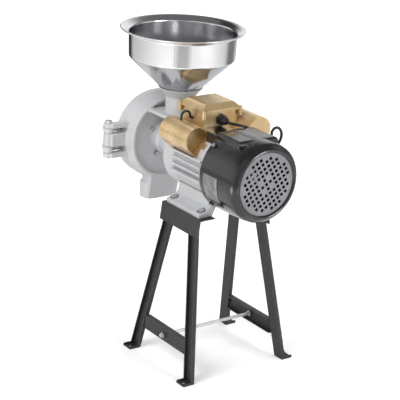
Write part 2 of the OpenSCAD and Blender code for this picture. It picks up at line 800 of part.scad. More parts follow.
// Bolts of the feed tube, pointing along +X from the face of the motor flange; children run along -X
module at_flange_bolts() {
  for (k = [0 : 3]) translate([flange_x, 0, axis_height]) rotate([45 + 90 * k, 0, 0]) translate([0, 0, flange_bolt_circle]) rotate([0, -90, 0]) children();
}
module at_cover_screws() {
  for (k = [0 : 3]) on_motor(45 + 90 * k) translate([cover_start + lug_length - over, 0, 0]) children();
}
module rear_end_shield() {
  color(silver) difference() {
    union() {
      rod_x(frame_end_x, frame_end_x + shield_plate, frame_radius);
      rod_x(frame_end_x, frame_end_x + shield_boss_length, shield_boss);
      intersection() {
        rod_x(frame_end_x, frame_end_x + lug_length, cover_radius * cover_shares[1][1] - cover_wall - seat);
        for (k = [0 : 3]) on_motor(45 + 90 * k)
          block([frame_end_x, -lug_width / 2, frame_bore], [frame_end_x + lug_length, lug_width / 2, cover_radius]);
      }
    }
    rod_x(frame_end_x - over, frame_end_x + bearing_width + seat, bearing_radius + seat);
    rod_x(frame_end_x, frame_end_x + 2 * shield_boss_length, shaft_hole);
    at_cover_screws() translate([0, 0, frame_radius]) cylinder(h = cover_radius, r = lug_screw_radius + seat, $fn = small_round);
  }
}
module stator_core() {
  color(stone) ring_x(-core_length / 2, core_length / 2, frame_bore - seat, stator_bore);
}
module stator_windings() {
  color(copper) {
    ring_x(-core_length / 2 - winding_length, -core_length / 2, winding_outer, winding_inner);
    ring_x(core_length / 2, core_length / 2 + winding_length - 2 * over, winding_outer, winding_inner);
  }
}
module rotor_core() {
  color(stone) ring_x(-core_length / 2, core_length / 2, rotor_radius, shaft_radius + seat);
}
module motor_shaft() {
  color(steel) {
    rod_x(shaft_start_x, shaft_end_x, shaft_radius);
    cone_x(shaft_end_x, shaft_end_x + over, shaft_radius, shaft_radius - over);
  }
}
module motor_bearings() {
  color(steel) {
    ring_x(frame_x - bearing_width, frame_x, bearing_radius, shaft_radius + seat);
    ring_x(frame_end_x, frame_end_x + bearing_width, bearing_radius, shaft_radius + seat);
  }
}
module cooling_fan() {
  color(black) difference() {
    union() {
      rod_x(fan_x, fan_x + fan_length, fan_hub_radius);
      rod_x(fan_x, fan_x + fan_disc, fan_radius);
      for (k = [0 : fan_blades - 1]) on_motor(360 / fan_blades * k)
        block([fan_x, -fan_blade / 2, shaft_radius + fan_blade], [fan_x + fan_length, fan_blade / 2, fan_radius]);
    }
    rod_x(fan_x - over, fan_x + fan_length + over, shaft_radius + seat);
  }
}

// Fan cover: outline from its open rim to the rolled lip, and back inside
module fan_cover() {
  outer = [for (p = cover_shares) [p[1] * cover_radius, p[0] * cover_length]];
  inner = [for (i = [len(cover_shares) - 2 : -1 : 0]) [cover_shares[i][1] * cover_radius - cover_wall, cover_shares[i][0] * cover_length - (cover_shares[i][0] > 0.9 ? cover_wall : 0)]];
  lip = [[cover_opening, cover_length - lip_depth], [cover_opening, cover_length - lip_depth - grille_thickness - clear], [cover_opening - ledge_width, cover_length - lip_depth - grille_thickness - clear], [cover_opening - ledge_width, cover_length - lip_depth - grille_thickness - cover_wall - clear], [cover_opening + cover_wall, cover_length - lip_depth - grille_thickness - cover_wall - clear]];
  color(black) difference() {
    union() {
      translate([cover_start, 0, axis_height]) rotate([0, 90, 0]) rotate_extrude() polygon(concat(outer, lip, inner));
      at_cover_screws() translate([0, 0, cover_radius - cover_wall / 2]) cylinder(h = cover_boss_rise + cover_wall / 2, r = cover_boss_radius, $fn = small_round);
      cover_pad();
    }
    at_cover_screws() translate([0, 0, frame_radius]) cylinder(h = cover_radius, r = lug_screw_radius + seat, $fn = small_round);
  }
}
// Flat pad on top of the fan cover, and the tongue that runs from it to the terminal box
module cover_pad() {
  difference() {
    intersection() {
      translate([0, 0, axis_height]) along_x(cover_start, pad_end_x) translate([0, pad_top / 2]) rounded(2 * pad_half, pad_top, pad_round);
      translate([0, 0, axis_height]) across_y(pad_half + over) translate([pad_end_x / 2, pad_top / 2]) rounded(pad_end_x, pad_top, pad_round);
    }
    rod_x(cover_start - over, pad_end_x + over, cover_radius * cover_shares[2][1] - cover_wall / 4);
  }
  difference() {
    translate([0, 0, axis_height]) along_x(tongue_x, cover_start + over) translate([(tongue_side - pad_half) / 2, tongue_top / 2]) rounded(pad_half + tongue_side, tongue_top, tongue_round);
    rod_x(0, frame_end_x, frame_radius + clear);
    rod_x(cover_start, frame_end_x, cover_radius - cover_wall / 2);
    on_motor(45) translate([0, -left_cap_shift, cover_seat]) along_x(-over, cap_length - left_cap_start + clear) cap_outline(cap_half_width + clear, left_cap_side, -frame_radius);
  }
}
module fan_grille() {
  x1 = cover_end_x - lip_depth - clear / 2;
  color(stone) difference() {
    rod_x(x1 - grille_thickness, x1, cover_opening - seat);
    translate([x1 - grille_thickness - over, 0, axis_height]) rotate([grille_turn, 0, 0]) rotate([0, 90, 0])
      linear_extrude(grille_thickness + 2 * over) for (row = grille_rows, i = [-row[1] : row[1]])
        if (abs(row[0]) != 1 || abs(i) != 1) translate([i, row[0]] * grille_pitch) square(grille_hole, center = true);
  }
}
module fan_cover_screws() {
  color(zinc) at_cover_screws() {
    translate([0, 0, frame_radius + over]) cylinder(h = cover_radius + cover_boss_rise - frame_radius, r = lug_screw_radius, $fn = small_round);
    translate([0, 0, cover_radius + cover_boss_rise]) cylinder(h = screw_head_height, r = screw_head_radius, $fn = small_round);
  }
}

// Terminal box and what belongs to it
module at_ears() {
  for (x = [box_x - lid_overhang + ear_shift, box_x + box_length + lid_overhang - ear_shift], y = [-1, 1])
    translate([x, y * (box_half_width + lid_overhang - ear_shift), axis_height + box_seat]) children();
}
module terminal_box() {
  z0 = axis_height + box_seat;
  color(gold) difference() {
    union() {
      block([box_x, -box_half_width, z0], [box_x + box_length, box_half_width, z0 + box_height]);
      at_ears() translate([0, 0, box_height - ear_height]) cylinder(h = ear_height, r = ear_radius, $fn = small_round);
    }
    block([box_x + box_wall, -box_half_width + box_wall, z0 + box_wall], [box_x + box_length - box_wall, box_half_width - box_wall, z0 + box_height + over]);
    pin_z([box_x + box_length / 2, 0, z0 - over], box_wall + 2 * over, wire_hole);
    at_ears() translate([0, 0, box_height - ear_height + box_wall]) cylinder(h = ear_height, r = ear_screw_radius + seat, $fn = small_round);
    pin_x([box_x + box_length - box_wall - over, 0, gland_z], box_wall + 2 * over, gland_dome_radius - box_wall + seat);
    pin_y([lead_x, -box_half_width - over, lead_end_z], box_wall + 2 * over, lead_radius + seat);
  }
}
module terminal_box_lid() {
  z0 = axis_height + box_seat + box_height;
  x0 = box_x - lid_overhang;
  x1 = box_x + box_length + lid_overhang;
  half = box_half_width + lid_overhang;
  top = lid_edge + lid_rise;
  color(gold) difference() {
    union() {
      translate([0, 0, z0]) block([x0, -half, 0], [x1, half, lid_edge]);
      at_ears() translate([0, 0, box_height]) cylinder(h = lid_edge, r = ear_radius, $fn = small_round);
      intersection() {
        translate([0, 0, z0]) across_y(half) polygon([[x0, lid_edge / 2], [x1, lid_edge / 2], [x1, lid_edge], [x1 - lid_slope, top], [x0 + lid_slope, top], [x0, lid_edge]]);
        translate([0, 0, z0]) along_x(x0, x1) polygon([[-half, lid_edge / 2], [half, lid_edge / 2], [half, lid_edge], [half - lid_slope, top], [lid_slope - half, top], [-half, lid_edge]]);
      }
    }
    translate([0, 0, z0 - over]) block([x0 + lid_slope, -half + lid_slope, 0], [x1 - lid_slope, half - lid_slope, top + over - box_wall]);
    at_ears() translate([0, 0, box_height - over]) cylinder(h = lid_edge + 2 * over, r = ear_screw_radius + seat, $fn = small_round);
    at_ears() translate([0, 0, box_height + lid_edge]) cylinder(h = lid_rise, r = screw_head_radius + clear, $fn = small_round);
  }
}
module lid_screws() {
  color(zinc) at_ears() {
    translate([0, 0, box_height - ear_height + box_wall + over]) cylinder(h = ear_height - box_wall + lid_edge, r = ear_screw_radius, $fn = small_round);
    translate([0, 0, box_height + lid_edge]) difference() {
      cylinder(h = screw_head_height, r = screw_head_radius, $fn = small_round);
      translate([-screw_head_radius - over, -over / 2, screw_head_height - over]) cube([2 * screw_head_radius + 2 * over, over, 2 * over]);
    }
  }
}
module terminal_block() {
  x0 = box_x + box_wall + 2 * over;
  z0 = axis_height + box_seat + box_wall;
  color(stone) {
    block([x0, -block_length / 2, z0], [x0 + block_width, block_length / 2, z0 + block_height]);
    for (k = [-1, 0, 1]) pin_z([x0 + block_width / 2, k * block_length / 3, z0 + block_height], stud_height, stud_radius);
  }
}
module cable_gland() {
  x0 = box_x + box_length;
  color(black) difference() {
    union() {
      translate([x0, 0, gland_z]) rotate([0, 90, 0]) hex(gland_width, gland_nut);
      pin_x([x0 - box_wall - over, 0, gland_z], box_wall + 2 * over, gland_dome_radius - box_wall);
      pin_x([x0 + gland_nut, 0, gland_z], gland_dome_length, gland_dome_radius);
      translate([x0 + gland_nut + gland_dome_length, 0, gland_z]) rotate([0, 90, 0])
        cylinder(h = gland_length - gland_nut - gland_dome_length, r1 = gland_dome_radius, r2 = gland_nose_radius, $fn = small_round);
      translate([x0 - box_wall - gland_nut / 2, 0, gland_z]) rotate([0, 90, 0]) hex(gland_width - 2 * box_wall, gland_nut / 2);
    }
    pin_x([x0 - gland_nut, 0, gland_z], gland_length + gland_nut - over, gland_bore);
  }
}

// Capacitor covers: a rounded outline on the flat, closed at the mill end
module cap_outline(half, side, low) {
  translate([-half, low]) square([2 * half, side - low]);
  translate([0, side]) circle(r = half);
}
module cap_cover(x0, turn, shift, side, inset) {
  color(gold) difference() {
    on_motor(turn) difference() {
      union() {
        translate([0, 0, cover_seat]) translate([0, -shift, 0]) along_x(x0, x0 + cap_length) cap_outline(cap_half_width, side, 0);
        block([x0 - tab_length, -shift - tab_width / 2, cover_seat], [x0 + cap_length + tab_length, -shift + tab_width / 2, cover_seat + cap_wall]);
      }
      difference() {
        translate([0, -shift, cover_seat]) along_x(x0 + cap_wall, x0 + cap_length + over) cap_outline(cap_half_width - cap_wall, side, -over);
        translate([x0 + cap_length - inset - cap_wall, -cap_half_width - shift, 0]) cube([cap_wall, 2 * cap_half_width, 3 * frame_radius]);
        block([x0 + cap_length - inset, -shift - cap_half_width, cover_seat], [x0 + cap_length + over, -shift + cap_half_width, cover_seat + cap_wall]);
      }
      for (x = [x0 - tab_length / 2, x0 + cap_length + tab_length / 2])
        translate([x, -shift, cover_seat - over]) cylinder(h = cap_wall + 2 * over, r = tab_screw_radius + seat, $fn = small_round);
    }
    if (shift > 0) pin_z([lead_x, lead_cover_y, axis_height + cover_seat], 2 * frame_radius, lead_radius + seat);
    if (shift > 0) block([box_x - clear, -box_half_width - clear, axis_height + box_seat - clear], [box_x + box_length + clear, 0, axis_height + box_seat + box_height]);
    else block([box_x - clear, 0, axis_height + box_seat - clear], [box_x + box_length + clear, box_half_width + clear, axis_height + box_seat + box_height]);
  }
}
module left_capacitor_cover() {
  cap_cover(-left_cap_start, 45, left_cap_shift, left_cap_side, end_wall_inset);
}
module right_capacitor_cover() {
  cap_cover(-right_cap_start, -45, 0, right_cap_side, 0);
}
module capacitors() {
  color(stone) {
    on_motor(45) pin_x([-left_cap_start + 2 * cap_wall, -left_cap_shift, capacitor_rest], capacitor_length, capacitor_radius);
    on_motor(-45) pin_x([-right_cap_start + 2 * cap_wall, 0, capacitor_rest], capacitor_length, capacitor_radius);
  }
}
module cover_screw_pair(x0, turn, shift) {
  on_motor(turn) for (x = [x0 - tab_length / 2, x0 + cap_length + tab_length / 2]) translate([x, -shift, 0]) {
    translate([0, 0, cover_seat - tab_screw_depth + seat]) cylinder(h = tab_screw_depth + cap_wall, r = tab_screw_radius, $fn = small_round);
    translate([0, 0, cover_seat + cap_wall]) cylinder(h = screw_head_height, r = screw_head_radius - over, $fn = small_round);
  }
}
module capacitor_cover_screws() {
  color(zinc) {
    cover_screw_pair(-left_cap_start, 45, left_cap_shift);
    cover_screw_pair(-right_cap_start, -45, 0);
  }
}
// Lead: up out of the left cover, over in a half circle and into the side of the box
lead_cover_y = -(cover_seat + left_cap_side) * sin(45) - left_cap_shift * cos(45);
lead_top_z = axis_height + (cover_seat + left_cap_side) * cos(45) - left_cap_shift * sin(45) + cap_half_width + lead_rise;
lead_low_z = lead_top_z - lead_rise - 2 * cap_wall;
lead_end_z = lead_top_z - lead_turn;
lead_down_y = lead_cover_y + 2 * lead_bend;
module capacitor_lead() {
  color(black) {
    pin_z([lead_x, lead_cover_y, lead_low_z], lead_top_z - lead_low_z, lead_radius);
    translate([lead_x, lead_cover_y + lead_bend, lead_top_z]) rotate([90, 0, 90]) rotate_extrude(angle = 180) translate([lead_bend, 0]) circle(r = lead_radius, $fn = small_round);
    translate([lead_x, lead_down_y + lead_turn, lead_top_z]) rotate([90, 0, 90]) rotate([0, 0, 180]) rotate_extrude(angle = 90) translate([lead_turn, 0]) circle(r = lead_radius, $fn = small_round);
    pin_y([lead_x, lead_down_y + lead_turn, lead_end_z], -box_half_width + 2 * box_wall - lead_down_y - lead_turn, lead_radius);
  }
}

// Cord
module power_cord() {
  color(black) {
    tube(cord_points, cord_radius, cord_sides, [0, 0, 1]);
    tube(tail_points, cord_radius, cord_sides, [0, 1, 0]);
  }
}
module cord_coil() {
  color(black) tube(coil_path, cord_radius, coil_sides, [0, 1, 0]);
}
module cord_tie() {
  low = coil_inner - tie_sheet - over;
  high = coil_outer + cord_radius + 2 * clear;
  depth = coil_pitch + cord_size + 2 * clear;
  color(black) translate([coil_x, coil_near_y + coil_pitch / 2, coil_z]) rotate([0, -tie_angle, 0]) difference() {
    block([low, -depth / 2 - tie_sheet, -tie_width / 2], [high + tie_sheet, depth / 2 + tie_sheet, tie_width / 2]);
    block([low + tie_sheet, -depth / 2, -tie_width], [high, depth / 2, tie_width]);
  }
}
module plug() {
  x1 = plug_x + relief_length;
  x2 = x1 + plug_body;
  color(black) {
    translate([plug_x, plug_y, plug_z]) rotate([0, 90, 0]) cylinder(h = relief_length, r1 = relief_start_radius, r2 = relief_end_radius, $fn = small_round);
    translate([x1, plug_y, plug_z]) rotate([90, 0, 90]) linear_extrude(plug_body) rounded(plug_thickness, plug_width, plug_thickness / 4);
    for (k = [-1, 0, 1]) pin_x([x2, plug_y, plug_z + k * plug_pin_pitch], plug_pin_length, plug_pin_radius);
  }
}

// Mill head
module chute_plan(w, d, r) {
  rounded(d, w, r);
}
// Turned outside of the mill case, grown by a gap
module case_drum(gap) {
  translate([0, 0, axis_height]) rotate([0, 90, 0]) rotate_extrude() polygon([[0, seam_x - gap], [case_radius + gap, seam_x - gap], [case_radius + gap, seam_x + case_rim_length], [case_radius - case_rim_step + gap, seam_x + case_rim_length + case_rim_step], [case_back_radius + gap, case_back_x + gap], [recess_radius - gap, case_back_x + gap], [recess_radius - gap, recess_x + gap], [0, recess_x + gap]]);
}
module case_body(gap) {
  case_drum(gap);
  rod_x(recess_x - over, boss_x + gap, boss_radius + gap);
  rod_x(boss_x - over, flange_x, tube_radius + gap);
}
// Way of the grain through the neck and the seat of the hopper
module feed_way() {
  pin_z([hopper_x, 0, axis_height], collar_rise + over, spout_radius + hopper_clear);
  translate([hopper_x, 0, cone_foot_z - hopper_clear * cone_slope]) cylinder(h = collar_z - cone_foot_z + hopper_clear * cone_slope + over, r1 = spout_radius, r2 = spout_radius + (collar_z - cone_foot_z + hopper_clear * cone_slope + over) / cone_slope);
}
// Way of the flour from the chamber into the chute
module flour_way() {
  block([seam_x + clear + chute_wall, -chute_neck_half + chute_wall, chute_top_z - chute_wall - over], [recess_x - 2 * chute_wall, chute_neck_half - chute_wall, axis_height - chamber_radius * cos(30)]);
}
module grinding_case() {
  color(silver) difference() {
    union() {
      case_body(0);
      rod_x(flange_x - tube_flange_length, flange_x, tube_flange_radius);
      // hinge arms and knuckles
      for (z = [[knuckle_1, knuckle_top], [knuckle_3, knuckle_2], [knuckle_5, knuckle_4]]) {
        pin_z([hinge_x, -hinge_reach, axis_height + z[0] + clear / 2], z[1] - z[0] - clear, knuckle_radius);
        block([seam_x + clear, -hinge_reach, axis_height + z[0] + clear / 2], [seam_x + arm_depth, -case_arm_end, axis_height + z[1] - clear / 2]);
      }
      // ears of the clamp
      for (k = [-1, 1]) {
        z0 = axis_height + (k > 0 ? ear_inner_gap : -ear_inner_gap - ear_plate);
        pin_z([clamp_x, clamp_reach, z0], ear_plate, ear_half_depth);
        block([clamp_x - ear_half_depth, case_arm_end, z0], [clamp_x + ear_half_depth, clamp_reach, z0 + ear_plate]);
      }
    }
    rod_x(seam_x - over, wall_x, chamber_radius);
    rod_x(wall_x - over, flange_x - tube_end, tube_bore);
    rod_x(flange_x - seal_pocket, flange_x + over, seal_radius + seat);
    rod_x(flange_x - 2 * tube_end, flange_x, shaft_hole);
    feed_way();
    flour_way();
    // hinge bore and clamp bore
    pin_z([hinge_x, -hinge_reach, axis_height + knuckle_5 - over], knuckle_top - knuckle_5 + 2 * over, hinge_pin_radius + seat);
    pin_z([clamp_x, clamp_reach, axis_height - ear_inner_gap - ear_plate - over], 2 * (ear_inner_gap + ear_plate + over), swing_pin_radius + seat);
    // space of the door's own knuckles
    for (z = [[knuckle_2, knuckle_1], [knuckle_4, knuckle_3]])
      pin_z([hinge_x, -hinge_reach, axis_height + z[0] - clear / 2], z[1] - z[0] + clear, knuckle_radius + 2 * clear);
    at_disc_bolts() translate([0, 0, -over]) cylinder(h = back_wall + 2 * over, r = m6_radius + clear, $fn = small_round);
    at_flange_bolts() translate([0, 0, -over]) cylinder(h = tube_flange_length + 2 * over, r = m6_radius + clear, $fn = small_round);
  }
}
// Feed neck with its flared collar, the ledge under it and the rib to the case
module feed_neck() {
  color(silver) difference() {
    union() {
      pin_z([hopper_x, 0, axis_height], neck_top_z - axis_height, neck_radius);
      translate([hopper_x, 0, neck_top_z]) cylinder(h = collar_z - neck_top_z, r1 = neck_radius, r2 = collar_radius);
      block([recess_x + ledge_start, -ledge_half, axis_height + ledge_low], [boss_x + ledge_length - ledge_start, ledge_half, axis_height + ledge_high]);
      block([recess_x + seat, -rib_thickness / 2, axis_height], [hopper_x, rib_thickness / 2, axis_height + ledge_high]);
    }
    case_body(seat);
    feed_way();
  }
}
module flour_chute() {
  color(silver) difference() {
    union() {
      translate([chute_mouth_x, 0, chute_low_z]) linear_extrude(chute_height) chute_plan(chute_width, chute_depth, chute_corner);
      block([seam_x + clear, -chute_neck_half, chute_top_z - over], [recess_x, chute_neck_half, axis_height - chamber_radius / 2]);
    }
    case_drum(seat);
    flour_way();
    translate([chute_mouth_x, 0, chute_low_z - over]) linear_extrude(chute_height - chute_wall + over) chute_plan(chute_width - 2 * chute_wall, chute_depth - 2 * chute_wall, chute_corner - chute_wall);
  }
}
// Bolts of the fixed disc, with +Z running along -X from the recess floor
module at_disc_bolts() {
  for (k = [0 : disc_bolts_count - 1]) translate([recess_x, 0, axis_height]) rotate([disc_bolt_turn + 360 / disc_bolts_count * k, 0, 0]) translate([0, 0, disc_bolt_circle]) rotate([0, -90, 0]) children();
}
module disc_bolts() {
  color(zinc) at_disc_bolts() {
    translate([0, 0, -m6_head]) hex(m6_flats, m6_head);
    translate([0, 0, -over]) cylinder(h = back_wall + disc_thickness / 2 + over, r = m6_radius, $fn = small_round);
  }
}
module case_bolts() {
  color(zinc) at_flange_bolts() {
    translate([0, 0, tube_flange_length]) hex(m6_flats, m6_head);
    translate([0, 0, -flange_web + over]) cylinder(h = flange_web + tube_flange_length, r = m6_radius, $fn = small_round);
  }
}
module furrowed(x, dir) {
  for (k = [0 : furrows - 1]) on_motor(360 / furrows * k) rotate([0, 0, 0])
    translate([x, 0, tube_bore + 2 * furrow_width]) block([dir > 0 ? -furrow_depth : -over, -furrow_width / 2, 0], [dir > 0 ? over : furrow_depth, furrow_width / 2, disc_radius]);
}
module fixed_disc() {
  x0 = wall_x - disc_thickness;
  color(stone) difference() {
    rod_x(x0, wall_x, disc_radius);
    rod_x(x0 - over, wall_x + over, tube_bore);
    furrowed(x0, -1);
    at_disc_bolts() cylinder(h = back_wall + disc_thickness / 2 + over, r = m6_radius + seat, $fn = small_round);
  }
}
module rotating_disc() {
  x1 = turning_disc_x + disc_thickness;
  color(stone) difference() {
    rod_x(turning_disc_x, x1, disc_radius);
    rod_x(turning_disc_x - over, x1 + over, hub_radius + seat);
    furrowed(x1, 1);
  }
}
module disc_holder() {
  color(steel) difference() {
    union() {
      rod_x(holder_plate_x, turning_disc_x, disc_radius - holder_radius_step);
      rod_x(turning_disc_x - over, turning_disc_x + disc_thickness - 2 * furrow_depth, hub_radius);
      rod_x(hub_x, holder_plate_x + over, hub_nose);
      cone_x(nose_x, hub_x, hub_nose / 2, hub_nose);
    }
    rod_x(hub_x + nose_length, turning_disc_x + disc_thickness + over, shaft_radius + seat);
  }
}
// Screw flight, thicker at its root than at its edge
module flight() {
  root = auger_root / 2;
  tip = auger_tip / 2;
  travel = auger_end - auger_start - auger_root;
  steps = ceil(travel / auger_pitch * coil_rings);
  outline = [[auger_core - over, -root], [auger_radius, -tip], [auger_radius, tip], [auger_core - over, root]];
  pts = [for (i = [0 : steps], q = outline) [auger_start + root + travel * i / steps + q[1], q[0] * cos(360 * i / coil_rings), axis_height + q[0] * sin(360 * i / coil_rings)]];
  sides_faces = [for (i = [0 : steps - 1], k = [0 : 3]) each [[i * 4 + k, i * 4 + (k + 1) % 4, (i + 1) * 4 + k], [(i + 1) * 4 + k, i * 4 + (k + 1) % 4, (i + 1) * 4 + (k + 1) % 4]]];
  polyhedron(points = pts, faces = concat(sides_faces, [[0, 2, 1], [0, 3, 2], [steps * 4, steps * 4 + 1, steps * 4 + 2], [steps * 4, steps * 4 + 2, steps * 4 + 3]]), convexity = 10);
}
module feed_auger() {
  color(steel) difference() {
    union() {
      rod_x(auger_start, auger_end, auger_core);
      flight();
    }
    rod_x(auger_start - over, auger_end + over, shaft_radius + seat);
  }
}
module shaft_seal() {
  color(black) ring_x(flange_x - seal_pocket + seat, flange_x - 2 * over, seal_radius, shaft_radius + seat);
}
module case_door() {
  color(silver) difference() {
    union() {
      difference() {
        translate([0, 0, axis_height]) rotate([0, 90, 0]) rotate_extrude() polygon([[0, door_x], [door_radius - door_chamfer, door_x], [door_radius - door_edge, door_x + door_edge], [door_radius, door_x + door_chamfer], [door_radius, seam_x - clear], [0, seam_x - clear]]);
        rod_x(door_x + door_plate, seam_x, chamber_radius);
      }
      rod_x(door_x - door_boss_length, door_x + over, door_boss_radius);
      for (z = [[knuckle_2, knuckle_1], [knuckle_4, knuckle_3]]) {
        pin_z([hinge_x, -hinge_reach, axis_height + z[0] + clear / 2], z[1] - z[0] - clear, knuckle_radius);
        block([door_x + door_edge, -hinge_reach, axis_height + z[0] + clear / 2], [seam_x - 2 * clear, -door_arm_end, axis_height + z[1] - clear / 2]);
      }
    }
    rod_x(door_x - door_boss_length - over, door_x + door_plate + over, adjuster_radius + thread_clear);
    pin_z([hinge_x, -hinge_reach, axis_height + knuckle_5], knuckle_top - knuckle_5, hinge_pin_radius + seat);
  }
}
// Forked lug on the rim of the door, for the swing bolt
module door_lug() {
  color(silver) difference() {
    block([lug_outer_x, door_lug_start - door_edge, axis_height - door_lug_half], [lug_outer_x + door_lug_depth, door_lug_end, axis_height + door_lug_half]);
    block([lug_outer_x - over, slot_start, axis_height - slot_half], [lug_outer_x + door_lug_depth + over, door_lug_end + over, axis_height + slot_half]);
    rod_x(lug_outer_x - over, lug_outer_x + door_lug_depth + over, door_radius + seat);
  }
}
module hinge_pin() {
  color(zinc) {
    pin_z([hinge_x, -hinge_reach, axis_height + knuckle_5 - pin_tail], knuckle_top - knuckle_5 + pin_tail, hinge_pin_radius);
    pin_z([hinge_x, -hinge_reach, axis_height + knuckle_top], pin_head, pin_head_radius);
  }
}
pad_x1 = nose_x - pad_gap;
pad_x0 = pad_x1 - pad_length;
screw_x1 = pad_x0 - clear;
nut_x = door_x - door_boss_length - lock_nut_height;
wheel_x = nut_x - handwheel_gap - handwheel_height;
module thrust_pad() {
  color(steel) rod_x(pad_x0, pad_x1, pad_radius);
}
module adjusting_screw() {
  color(steel) rod_x(wheel_x - screw_tail, screw_x1, adjuster_radius);
}
module lock_nut() {
  color(zinc) difference() {
    translate([nut_x, 0, axis_height]) rotate([0, 90, 0]) hex(lock_nut_flats, lock_nut_height);
    rod_x(nut_x - over, nut_x + lock_nut_height + over, adjuster_radius + thread_clear);
  }
}
module handwheel() {
  mid = wheel_x + handwheel_height / 2;
  color(black) difference() {
    union() {
      translate([mid, 0, axis_height]) rotate([0, 90, 0]) rotate_extrude() translate([handwheel_radius - wheel_rim, 0]) circle(r = wheel_rim, $fn = small_round);
      rod_x(wheel_x, wheel_x + handwheel_height, wheel_hub);
      for (k = [0 : 2]) on_motor(120 * k) translate([mid, 0, 0]) cylinder(h = handwheel_radius - wheel_rim, r = spoke_radius, $fn = small_round);
    }
    rod_x(wheel_x - over, wheel_x + handwheel_height + over, adjuster_radius + seat);
  }
}
module swing_bolt() {
  color(zinc) translate([clamp_x, clamp_reach, axis_height]) difference() {
    union() {
      translate([0, 0, clear - ear_inner_gap]) cylinder(h = 2 * (ear_inner_gap - clear), r = swing_eye_radius, $fn = small_round);
      pin_y([0, 0, 0], swing_bolt_length, swing_bolt_radius);
    }
    translate([0, 0, -ear_inner_gap]) cylinder(h = 2 * ear_inner_gap, r = swing_pin_radius + seat, $fn = small_round);
  }
}
module swing_pin() {
  color(zinc) translate([clamp_x, clamp_reach, axis_height - ear_inner_gap - ear_plate - over])
    cylinder(h = 2 * (ear_inner_gap + ear_plate + over), r = swing_pin_radius, $fn = small_round);
}
module clamp_washer() {
  color(zinc) difference() {
    pin_y([clamp_x, clamp_reach + clamp_face, axis_height], clamp_washer_height, clamp_washer_radius);
    pin_y([clamp_x, clamp_reach, axis_height], 2 * clamp_face, swing_bolt_radius + seat);
  }
}
module clamp_nut() {
  color(black) translate([clamp_x, clamp_reach + clamp_face + clamp_washer_height + clear, axis_height]) rotate([-90, 0, 0]) difference() {
    union() {
      cylinder(h = clamp_nut_height, r = clamp_knob_radius - clamp_lobe_radius, $fn = small_round);
      for (k = [0 : clamp_lobes - 1]) rotate([0, 0, 360 / clamp_lobes * k]) translate([clamp_knob_radius - clamp_lobe_radius, 0, 0])
        cylinder(h = clamp_nut_height, r = clamp_lobe_radius, $fn = small_round);
    }
    translate([0, 0, -over]) cylinder(h = clamp_nut_height + 2 * over, r = swing_bolt_radius + seat, $fn = small_round);
  }
}
module hopper() {
  t = hopper_sheet;
  slant = t / sin(atan(1 / cone_slope));
  color(steel) translate([hopper_x, 0, 0]) rotate_extrude() polygon([
    [spout_radius, cone_foot_z - spout_length], [spout_radius, cone_foot_z], [band_radius, cone_top_z], [band_radius + 1.3 * t, rim_z - rim_lip + t], [rim_radius, rim_z - rim_roll], [rim_radius, rim_z], [rim_radius - rim_lip, rim_z], [band_radius + t / 3, rim_z - rim_lip], [band_radius - t, cone_top_z + t], [spout_radius - t, cone_foot_z + t], [spout_radius - t, cone_foot_z - spout_length]]);
}

rail(0);  // left_rail
rail(1);  // right_rail
leg(0, -1);  // left_rear_leg
leg(0, 1);  // left_front_leg
leg(1, -1);  // right_rear_leg
leg(1, 1);  // right_front_leg
brace(0);  // left_brace
brace(1);  // right_brace
tie_rod();
tie_rod_nuts();
motor_foot_bolts();
motor_foot_nuts();
motor_frame();
drive_end_flange();
rear_end_shield();
stator_core();
stator_windings();
rotor_core();
motor_shaft();
motor_bearings();
cooling_fan();
fan_cover();
fan_grille();
fan_cover_screws();
terminal_box();
terminal_box_lid();
lid_screws();
terminal_block();
cable_gland();
capacitors();
left_capacitor_cover();
right_capacitor_cover();
capacitor_cover_screws();
capacitor_lead();
power_cord();
cord_coil();
cord_tie();
plug();
grinding_case();
feed_neck();
flour_chute();
case_door();
door_lug();
hinge_pin();
rotating_disc();
fixed_disc();
disc_holder();
feed_auger();
shaft_seal();
thrust_pad();
adjusting_screw();
handwheel();
lock_nut();
swing_bolt();
swing_pin();
clamp_washer();
clamp_nut();
disc_bolts();
case_bolts();
hopper();
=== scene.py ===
import json
import math

import bmesh
import bpy
from mathutils import Matrix, Vector


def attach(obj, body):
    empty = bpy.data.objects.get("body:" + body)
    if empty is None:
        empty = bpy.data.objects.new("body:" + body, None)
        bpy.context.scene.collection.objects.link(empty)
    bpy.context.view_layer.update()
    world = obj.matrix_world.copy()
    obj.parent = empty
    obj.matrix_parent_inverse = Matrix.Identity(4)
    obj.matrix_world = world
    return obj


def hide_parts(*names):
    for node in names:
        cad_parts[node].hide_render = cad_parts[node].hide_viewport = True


MM = 0.001
AXIS = 490.0
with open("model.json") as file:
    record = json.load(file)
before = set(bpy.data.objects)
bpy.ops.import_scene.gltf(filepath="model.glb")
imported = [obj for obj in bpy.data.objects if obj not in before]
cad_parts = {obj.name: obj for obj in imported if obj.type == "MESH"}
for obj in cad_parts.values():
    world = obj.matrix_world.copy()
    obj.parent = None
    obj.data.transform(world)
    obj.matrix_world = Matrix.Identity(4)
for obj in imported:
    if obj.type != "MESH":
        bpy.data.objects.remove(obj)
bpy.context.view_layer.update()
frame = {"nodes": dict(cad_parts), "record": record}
nodes = frame["nodes"]
scene = bpy.context.scene


